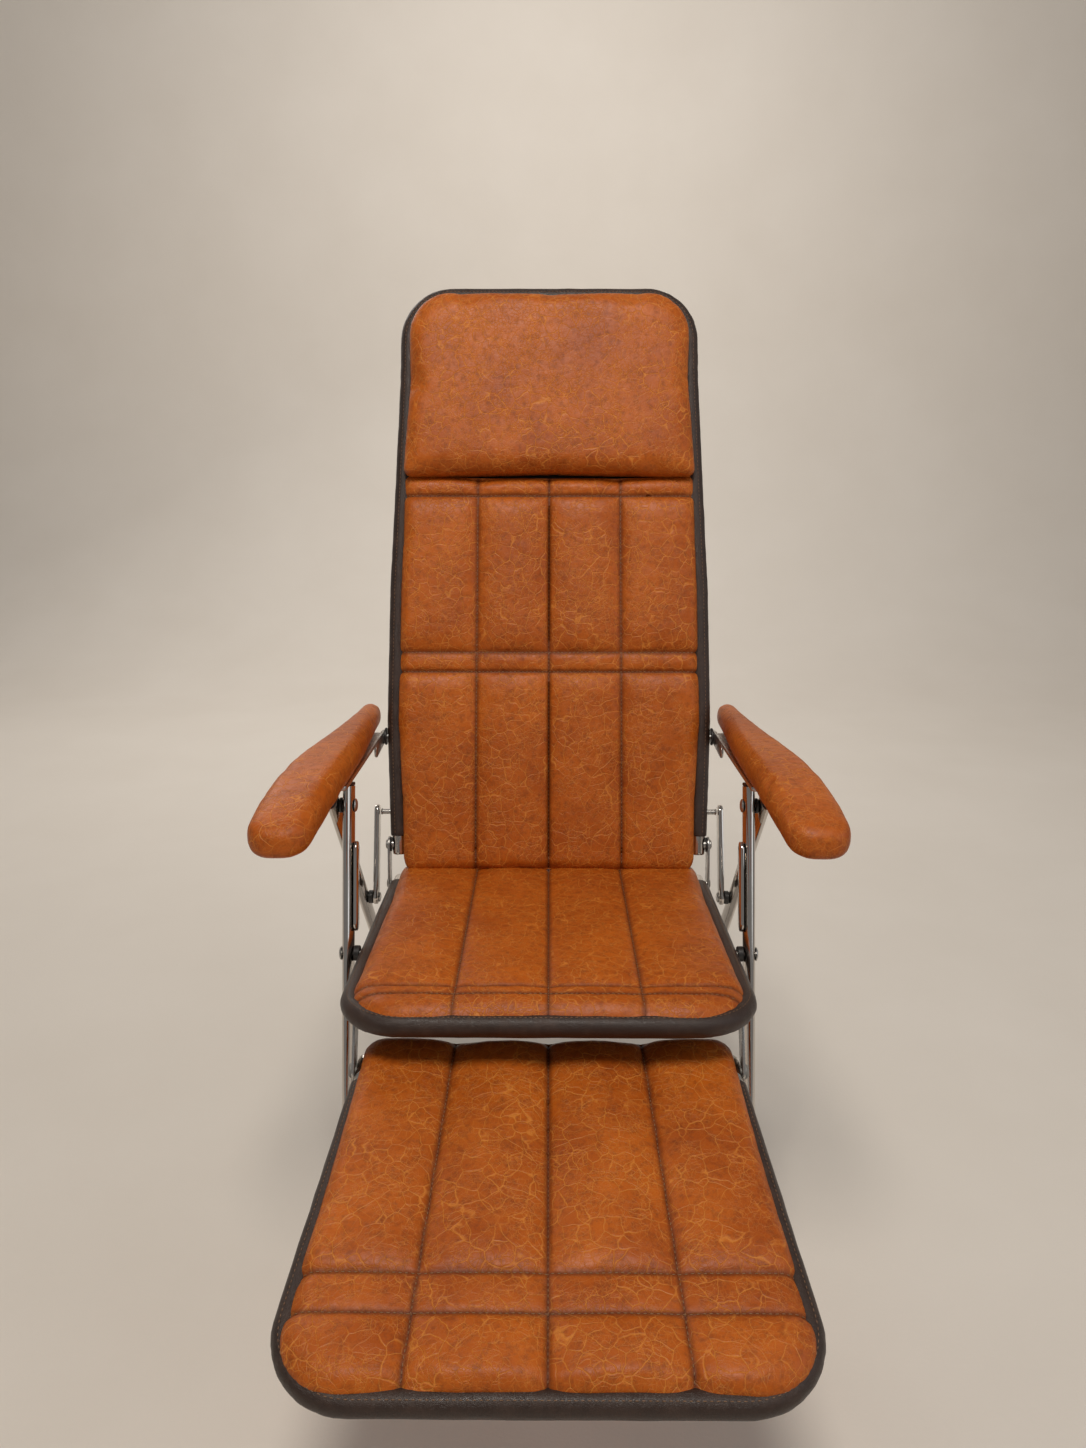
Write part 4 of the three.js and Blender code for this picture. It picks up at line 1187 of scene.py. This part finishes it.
@dataclass(frozen=True)
class SeatFrame:
    """The seat: bent tube, vinyl binding, quilted cushion, board and hinge fittings."""

    half_rear: float = 206.0
    half_front: float = 211.0
    rear: float = 250.0
    front: float = -180.0
    corner: float = 62.0
    radius: float = 10.0
    body: str = "seat"

    @property
    def run(self) -> Run:
        """The tube's line, from the left rear end round the front to the right rear end."""
        return Run(((-self.half_rear, self.rear, 0), (-self.half_front, self.front, self.corner),
                    (self.half_front, self.front, self.corner), (self.half_rear, self.rear, 0)))

    def build(self, marks: Landmarks) -> None:
        """Makes every piece of the seat."""
        plane = Plane(marks.seat_pivot, Tilt.SEAT)
        tube = self.run.swept(Section(2 * self.radius, 2 * self.radius, 36), inward=-1, step=4.0)
        rounded(tube, [edge for edge in tube.edges if edge.calc_face_angle(0.0) > 1.2], 2.5, 3)
        bmesh.ops.transform(tube, matrix=plane.matrix(), verts=tube.verts)
        put("seat_tube", tube, CHROME, self.body, ["seat_frame"])
        Binding("seat_wrap", "seat_binding", self.body, self.run.trimmed(28), -1, 12.2).build(plane)
        edge, lip, tuck = 0.0, 8.0, 10.0
        outline = ((-self.half_rear + edge, self.rear + tuck, 22), (-self.half_front + edge, self.front - lip, 64),
                   (self.half_front - edge, self.front - lip, 64), (self.half_rear - edge, self.rear + tuck, 22))
        Cushion(Padding(
            "seat_cushion", "seat_pad", self.body, outline, -13, 27.0, 12,
            Quilting((-98, 0, 98), (-98, 0, 98), (-152, -135), 9.0, 3.0), swell=5.0, fill=0.75, skirt=22,
        ), plane).build()
        board_edge = 20.0
        self.board(plane, ((-self.half_rear + board_edge, self.rear - 8, 14),
                           (-self.half_front + board_edge, self.front + board_edge, 44),
                           (self.half_front - board_edge, self.front + board_edge, 44),
                           (self.half_rear - board_edge, self.rear - 8, 14)))
        for side in Side:
            self.fittings(marks, side, plane)

    def board(self, plane: Plane, outline: tuple) -> None:
        """The lining stretched under the cushion, with a turned hem."""
        form = lining_panel(outline, -17.3, -13.3)
        bmesh.ops.transform(form, matrix=plane.matrix(), verts=form.verts)
        put("seat_lining", form, LINING, self.body, ["seat_board"])

    def fittings(self, marks: Landmarks, side: Side, plane: Plane) -> None:
        """Hinge plate, its screw, and the footrest's bracket and capped bolt."""
        sign, word = side.value, side.word
        put(f"back_plate_{word}", strap(218.3, 221.3, marks.plate_screw, marks.back_hinge, 11.0, sign),
            ZINC, self.body, [f"hinge_plate_{word}"])
        put(f"back_plate_screw_{word}", bolt(200.0, 221.6, 224.3, 6.5, marks.plate_screw, sign),
            ZINC, self.body, [f"plate_screw_{word}"])
        top = plane.spot_at(-134, -22.5)
        put(f"foot_hanger_{word}", strap(203.6, 206.6, marks.foot_hinge, top, 10.0, sign),
            ZINC, self.body, [f"foot_bracket_{word}"])
        put(f"foot_hinge_cap_{word}", bolt(188.0, 206.9, 211.6, 8.0, marks.foot_hinge, sign),
            GREY, self.body, [f"foot_bolt_{word}"])


def lining_panel(outline: Sequence[tuple[float, float, float]], low: float, high: float) -> bmesh.types.BMesh:
    """A thin panel with rounded corners and a raised hem, in millimetres.

    Args:
        outline: corners of (x, y, radius).
        low: its lower face.
        high: its upper face.

    Returns:
        The panel.
    """
    form = bmesh.new()
    points = [form.verts.new((x, y, low)) for x, y, _ in outline]
    form.faces.new(points)
    for point, (_, _, radius) in zip(points, outline):
        if radius:
            bmesh.ops.bevel(form, geom=[point], offset=radius, offset_type="OFFSET", segments=8, profile=0.5,
                            affect="VERTICES", material=-1)
    raised = bmesh.ops.extrude_face_region(form, geom=list(form.faces))["geom"]
    bmesh.ops.translate(form, vec=(0, 0, high - low), verts=verts_of(raised))
    settled(form)
    caps = [face for face in form.faces if abs(face.normal.z) > 0.9]
    bmesh.ops.inset_region(form, faces=caps, thickness=9.0, depth=0.0)
    caps = [face for face in form.faces if abs(face.normal.z) > 0.9 and len(face.verts) > 8]
    bmesh.ops.inset_region(form, faces=caps, thickness=1.5, depth=-0.9)
    rounded(form, [edge for edge in form.edges if edge.calc_face_angle(0.0) > 1.2], 1.0, 2)
    return settled(form)


@dataclass(frozen=True)
class Footrest:
    """The footrest: bent tube, binding, quilted cushion and the plain pad under it."""

    half_rear: float = 194.0
    half_end: float = 221.0
    length: float = 352.0
    corner: float = 62.0
    radius: float = 9.0
    body: str = "footrest"

    @property
    def run(self) -> Run:
        """The tube's line, from the left hinge round the end to the right hinge."""
        return Run(((-self.half_rear, 16, 0), (-self.half_rear, -16, 12), (-self.half_end, -self.length, self.corner),
                    (self.half_end, -self.length, self.corner), (self.half_rear, -16, 12), (self.half_rear, 16, 0)))

    def build(self, marks: Landmarks) -> None:
        """Makes every piece of the footrest."""
        plane = Plane(marks.foot_hinge, Tilt.FOOTREST)
        tube = self.run.swept(Section(2 * self.radius, 2 * self.radius, 36), inward=-1, step=4.0)
        rounded(tube, [edge for edge in tube.edges if edge.calc_face_angle(0.0) > 1.2], 2.5, 3)
        bmesh.ops.transform(tube, matrix=plane.matrix(), verts=tube.verts)
        put("footrest_tube", tube, CHROME, self.body, ["footrest_frame"])
        wrapped = Run(self.run.corners[1:-1])
        wrapped = Run(tuple((x, y, 0 if index in (0, 3) else r) for index, (x, y, r) in enumerate(wrapped.corners)))
        Binding("footrest_wrap", "footrest_binding", self.body, wrapped.trimmed(6), -1, 11.2).build(plane)
        outline = self.padding_outline(-3.0, -4.0, 36.0)
        Cushion(Padding(
            "footrest_cushion", "footrest_pad", self.body, outline, -9, 22.5, 10,
            Quilting((-115, 0, 115), (-99, 0, 99), (-288, -251), 11.5, 4.0), swell=5.0, fill=0.75, skirt=21,
        ), plane).build()
        Cushion(Padding(
            "footrest_under_cushion", "footrest_under_pad", self.body, self.padding_outline(5.0, 5.0, -20.0),
            -29, -8, 8.5, swell=3.5, fill=0.5, pucker=0.4,
        ), plane).build()

    def padding_outline(self, side: float, end: float, rear: float) -> tuple:
        """Outline of a cushion, from how far it keeps inside the tube's line and where its rear is."""
        return ((-self.half_rear + side, rear, 22), (-self.half_end + side, -self.length + end, 60),
                (self.half_end - side, -self.length + end, 60), (self.half_rear - side, rear, 22))


@dataclass(frozen=True)
class BackFrame:
    """The back: bent tube, binding, channelled cushion, head pillow and lining."""

    halves: tuple = ((-14.0, 205.0), (170.0, 211.0), (350.0, 208.0), (500.0, 201.0), (640.0, 195.0))
    top_half: float = 193.0
    top: float = 760.0
    corner: float = 60.0
    radius: float = 10.0
    pillow_from: float = 507.0
    body: str = "back"

    @property
    def run(self) -> Run:
        """The tube's line, from the left foot over the top to the right foot."""
        left = [(-half, along, 0 if along < 0 else 320) for along, half in self.halves]
        right = [(-x, y, r) for x, y, r in reversed(left)]
        return Run((*left, (-self.top_half, self.top, self.corner), (self.top_half, self.top, self.corner), *right))

    def half_at(self, along: float) -> float:
        """Half the distance between the side tubes at a distance from the hinge."""
        spots = [*self.halves, (self.top, self.top_half)]
        return float(np.interp(along, [spot[0] for spot in spots], [spot[1] for spot in spots]))

    def edge(self, along: float, sign: int, radius: float = 0.0, inset: float = 0.0) -> tuple:
        """A corner of a cushion's outline beside the tube."""
        return sign * (self.half_at(along) - inset), along, radius

    def build(self, marks: Landmarks) -> None:
        """Makes every piece of the back."""
        plane = Plane(marks.back_hinge, Tilt.BACK)
        tube = self.run.swept(Section(2 * self.radius, 2 * self.radius, 36), inward=1, step=4.0)
        rounded(tube, [edge for edge in tube.edges if edge.calc_face_angle(0.0) > 1.2], 3.0, 3)
        bmesh.ops.transform(tube, matrix=plane.matrix(), verts=tube.verts)
        put("back_tube", tube, CHROME, self.body, ["back_frame"])
        Binding("back_wrap", "back_binding", self.body, self.run.trimmed(26), 1, 12.2).build(plane)
        sides = (170.0, 350.0)
        lower = (self.edge(-38, 1, 16, 6), *(self.edge(along, 1) for along in sides),
                 self.edge(self.pillow_from + 3, 1, 5), self.edge(self.pillow_from + 3, -1, 5),
                 *(self.edge(along, -1) for along in reversed(sides)), self.edge(-38, -1, 16, 6))
        Cushion(Padding(
            "back_cushion", "back_pad", self.body, lower, -8, 24.0, 11,
            Quilting((-100, 0, 100), (-98, 0, 98), (238, 264, 480), 14.0, 6.5), swell=5.5, fill=0.8, skirt=22,
        ), plane).build()
        upper = (self.edge(self.pillow_from - 2, 1, 8), self.edge(640, 1), (self.top_half, self.top, 60),
                 (-self.top_half, self.top, 60), self.edge(640, -1), self.edge(self.pillow_from - 2, -1, 8))
        Cushion(Padding(
            "head_cushion", "head_pillow", self.body, upper, -11, 41, 18, swell=9.0, fill=0.9, pucker=0.45,
            skirt=24,
        ), plane).build()
        self.lining(plane)
        for side in Side:
            sign, word = side.value, side.word
            put(f"arm_pivot_bolt_{word}", bolt(206.0, 230.3, 233.6, 7.5, marks.arm_pivot, sign), ZINC, self.body,
                [f"arm_bolt_{word}"])
            put(f"link_pin_{word}", bolt(204.0, 229.6, 231.8, 4.5, marks.link_stud, sign), ZINC, self.body,
                [f"link_stud_{word}"])

    def lining(self, plane: Plane) -> None:
        """The dark cloth across the rear of the back."""
        top = self.top - 19
        outline = (self.edge(12, 1, 14, 19), self.edge(170, 1, 0, 19), self.edge(350, 1, 0, 19),
                   self.edge(500, 1, 0, 19), self.edge(640, 1, 0, 19), (self.top_half - 19, top, 41),
                   (-self.top_half + 19, top, 41), self.edge(640, -1, 0, 19), self.edge(500, -1, 0, 19),
                   self.edge(350, -1, 0, 19), self.edge(170, -1, 0, 19), self.edge(12, -1, 14, 19))
        form = lining_panel(outline, -16.3, -12.3)
        bmesh.ops.transform(form, matrix=plane.matrix(), verts=form.verts)
        put("back_lining", form, LINING, self.body, ["back_board"])


@dataclass(frozen=True)
class HingeRod:
    """The rod that carries the back on the seat, with its washers."""

    half: float = 224.3
    radius: float = 6.5

    def build(self, marks: Landmarks) -> None:
        """Makes the rod and both washers."""
        profile = [(-self.half, 0.0), (-self.half, self.radius - 1), (-self.half + 1, self.radius),
                   (self.half - 1, self.radius), (self.half, self.radius - 1), (self.half, 0.0)]
        put("hinge_rod_steel", turned(profile, marks.back_hinge, 1), ZINC, "hinge_rod", ["hinge_shaft"])
        for side in Side:
            put(f"hinge_spacer_{side.word}", washer(
                216.3, 218.0, self.radius + 0.3, self.radius + 3.5, marks.back_hinge, side.value),
                BLACK, "hinge_rod", [f"hinge_washer_{side.word}"])


@dataclass(frozen=True)
class LinkBar:
    """A short chromed bar between a rear leg and the back."""

    side: Side
    inner: float = 233.0
    outer: float = 240.0

    def build(self, marks: Landmarks) -> None:
        """Makes the bar, its spacer and its bolt."""
        sign, word = self.side.value, self.side.word
        put(f"link_strap_{word}", strap(
            self.inner, self.outer, marks.link_pivot, marks.link_stud, 10.0, sign, 2.4),
            CHROME, f"link_{word}", [f"link_bar_{word}"])
        put(f"link_washer_{word}", washer(self.outer + 0.3, 246.7, 3.8, 9.0, marks.link_pivot, sign),
            BLACK, "rear_legs", [f"link_spacer_{word}"])
        put(f"link_pivot_bolt_{word}", bolt(260.3, self.inner - 0.3, self.inner - 3.5, 7.0, marks.link_pivot, sign,
                                            nut=263.5), ZINC, "rear_legs", [f"link_bolt_{word}"])


@dataclass(frozen=True)
class Arm:
    """A padded arm on its board, hinged to the back."""

    side: Side
    widths: tuple = ((20.0, 233.0, 260.0), (-60.0, 230.0, 263.0), (-160.0, 223.5, 271.0),
                     (-270.0, 220.5, 284.0), (-390.0, 222.0, 295.0), (-490.0, 233.0, 293.0))
    droop_from: float = -285.0
    droop: float = 27.0

    def outline(self) -> tuple[tuple[float, float, float], ...]:
        """The pad's outline with its rounded corners, along the outer edge and back along the inner one."""
        sign = self.side.value
        along = [row[0] for row in self.widths]
        fine = np.linspace(along[0], along[-1], 9)
        grid = np.array(self.widths)[::-1]
        def edge(column: int) -> list[tuple[float, float, float]]:
            """One long edge, sharp ends rounded."""
            return [(sign * float(np.interp(place, grid[:, 0], grid[:, column])), float(place),
                     {0: 12.0, 8: 24.0}.get(index, 0.0)) for index, place in enumerate(fine)]
        loop = edge(2) + edge(1)[::-1]
        return tuple(loop if sign > 0 else loop[::-1])

    def build(self, marks: Landmarks) -> None:
        """Makes the pad, its board with the lug, and the disc it turns on."""
        sign, word = self.side.value, self.side.word
        plane = Plane(marks.arm_pivot, Tilt.ARMS)
        Cushion(Padding(
            f"arm_cushion_{word}", f"arm_pad_{word}", f"arm_{word}", self.outline(), 9.3, 47.3, 15,
            voxel=4.0, swell=4.0, fill=0.85, pucker=0.7, droop_from=self.droop_from, droop=self.droop,
        ), plane).build()
        form = bmesh.new()
        inner, outer = 226.9, 256.0
        bmesh.ops.create_cube(form, size=1.0, matrix=Matrix.Translation(
            (sign * (inner + outer) / 2, -158, 6.5)) @ Matrix.Diagonal((outer - inner, 284, 5, 1)))
        rounded(form, [edge for edge in form.edges if abs(edge.verts[0].co.y - edge.verts[1].co.y) < 1
                       and abs(edge.verts[0].co.x - edge.verts[1].co.x) < 1], 6.0, 5)
        rounded(form, [edge for edge in form.edges if edge.calc_face_angle(0.0) > 1.2], 0.8, 2)
        bmesh.ops.transform(form, matrix=plane.matrix(), verts=form.verts)
        lug_end = plane.spot_at(-70, -4)
        lug = strap(226.9, 229.9, marks.arm_pivot, lug_end, 9.0, sign)
        lug_mesh = bpy.data.meshes.new("lug")
        lug.to_mesh(lug_mesh)
        lug.free()
        form.from_mesh(lug_mesh)
        bpy.data.meshes.remove(lug_mesh)
        put(f"arm_rail_{word}", form, ZINC, f"arm_{word}", [f"arm_board_{word}"])
        put(f"arm_disc_{word}", washer(223.6, 226.6, 3.8, 12.0, marks.arm_pivot, sign),
            BLACK, "back", [f"arm_bracket_{word}"])


# ------------------------------------------------------------------ studio


@dataclass(frozen=True)
class Studio:
    """Pale floor, soft lights and the camera."""

    eye: tuple[float, float, float] = (0.0, -1.199, 1.021)
    pitch: float = 16.0
    yaw: float = 0.31
    lens: float = 27.7

    def build(self) -> None:
        """Sets up everything that isn't the chair."""
        self.floor()
        self.lights()
        camera = bpy.data.cameras.new("camera")
        camera.sensor_fit = "VERTICAL"
        camera.sensor_height = 36.0
        camera.lens = self.lens
        camera.clip_start = 0.02
        eye = bpy.data.objects.new("camera", camera)
        eye.location = self.eye
        eye.rotation_euler = (math.radians(90 - self.pitch), 0, math.radians(self.yaw))
        bpy.context.scene.collection.objects.link(eye)
        bpy.context.scene.camera = eye
        bpy.context.scene.view_settings.view_transform = "Standard"

    @staticmethod
    def floor() -> None:
        """A pale floor that rises softly behind the chair."""
        form = bmesh.new()
        bmesh.ops.create_grid(form, x_segments=1, y_segments=1, size=4.0)
        far = [edge for edge in form.edges if all(point.co.y > 3.9 for point in edge.verts)]
        raised = bmesh.ops.extrude_edge_only(form, edges=far)["geom"]
        bmesh.ops.translate(form, vec=(0, 0, 4.0), verts=verts_of(raised))
        bend = [edge for edge in form.edges if edge.calc_face_angle(0.0) > 1.0]
        rounded(form, bend, 1.4, 20)
        mesh = bpy.data.meshes.new("floor")
        form.to_mesh(mesh)
        form.free()
        mesh.shade_smooth()
        floor = bpy.data.objects.new("floor", mesh)
        bpy.context.scene.collection.objects.link(floor)
        bench = Bench("pale_floor")
        cloud = bench.noise(3.0, 4.0)
        colour = bench.blend(cloud, rgb(0.74, 0.675, 0.60), rgb(0.81, 0.75, 0.68))
        bench.relief(bench.noise(240.0, 3.0), 0.0008, 0.3)
        floor.data.materials.append(bench.dress(base_color=colour, roughness=0.85))

    @staticmethod
    def lights() -> None:
        """A large warm key from above the sitter's front, a cooler fill and a low room light."""
        for name, place, aim, size, power, colour in (
            ("key", (-0.1, -1.25, 3.0), (0, 0.1, 0.6), 0.9, 46.0, (1.0, 0.94, 0.86)),
            ("fill", (2.4, -1.0, 1.7), (0, 0, 0.5), 2.0, 10.0, (0.9, 0.95, 1.0)),
            ("back", (-1.6, 2.6, 2.4), (0, 0.2, 0.7), 1.6, 16.0, (1.0, 0.97, 0.92)),
            ("wall", (0.0, 1.7, 2.8), (0, 4.0, 1.3), 1.6, 34.0, (1.0, 0.97, 0.93)),
        ):
            light = bpy.data.lights.new(name, "AREA")
            light.shape = "DISK"
            light.size = size
            light.energy = power
            light.color = colour
            lamp = bpy.data.objects.new(name, light)
            lamp.location = place
            lamp.rotation_euler = (Vector(aim) - Vector(place)).to_track_quat("-Z", "Y").to_euler()
            bpy.context.scene.collection.objects.link(lamp)
        world = bpy.data.worlds.new("room")
        world.use_nodes = True
        world.node_tree.nodes["Background"].inputs[0].default_value = (0.82, 0.8, 0.78, 1)
        world.node_tree.nodes["Background"].inputs[1].default_value = 0.26
        bpy.context.scene.world = world


def main() -> None:
    """Builds the chair and its studio."""
    marks = Landmarks()
    makers: list[Callable[[Landmarks], None]] = [
        LegArch("front", "front_base", Tilt.FRONT_LEGS, 16.5, 14.0, 30.0, 236.0, 23.0).build,
        LegArch("rear", "rear_legs", Tilt.REAR_LEGS, 40.5, 13.0, 28.0, 253.5, 15.0).build,
        Joinery().build,
        SeatFrame().build,
        Footrest().build,
        BackFrame().build,
        HingeRod().build,
        *(LinkBar(side).build for side in Side),
        *(Arm(side).build for side in Side),
    ]
    for make in makers:
        make(marks)
    Studio().build()


if __name__ == "__main__":
    main()
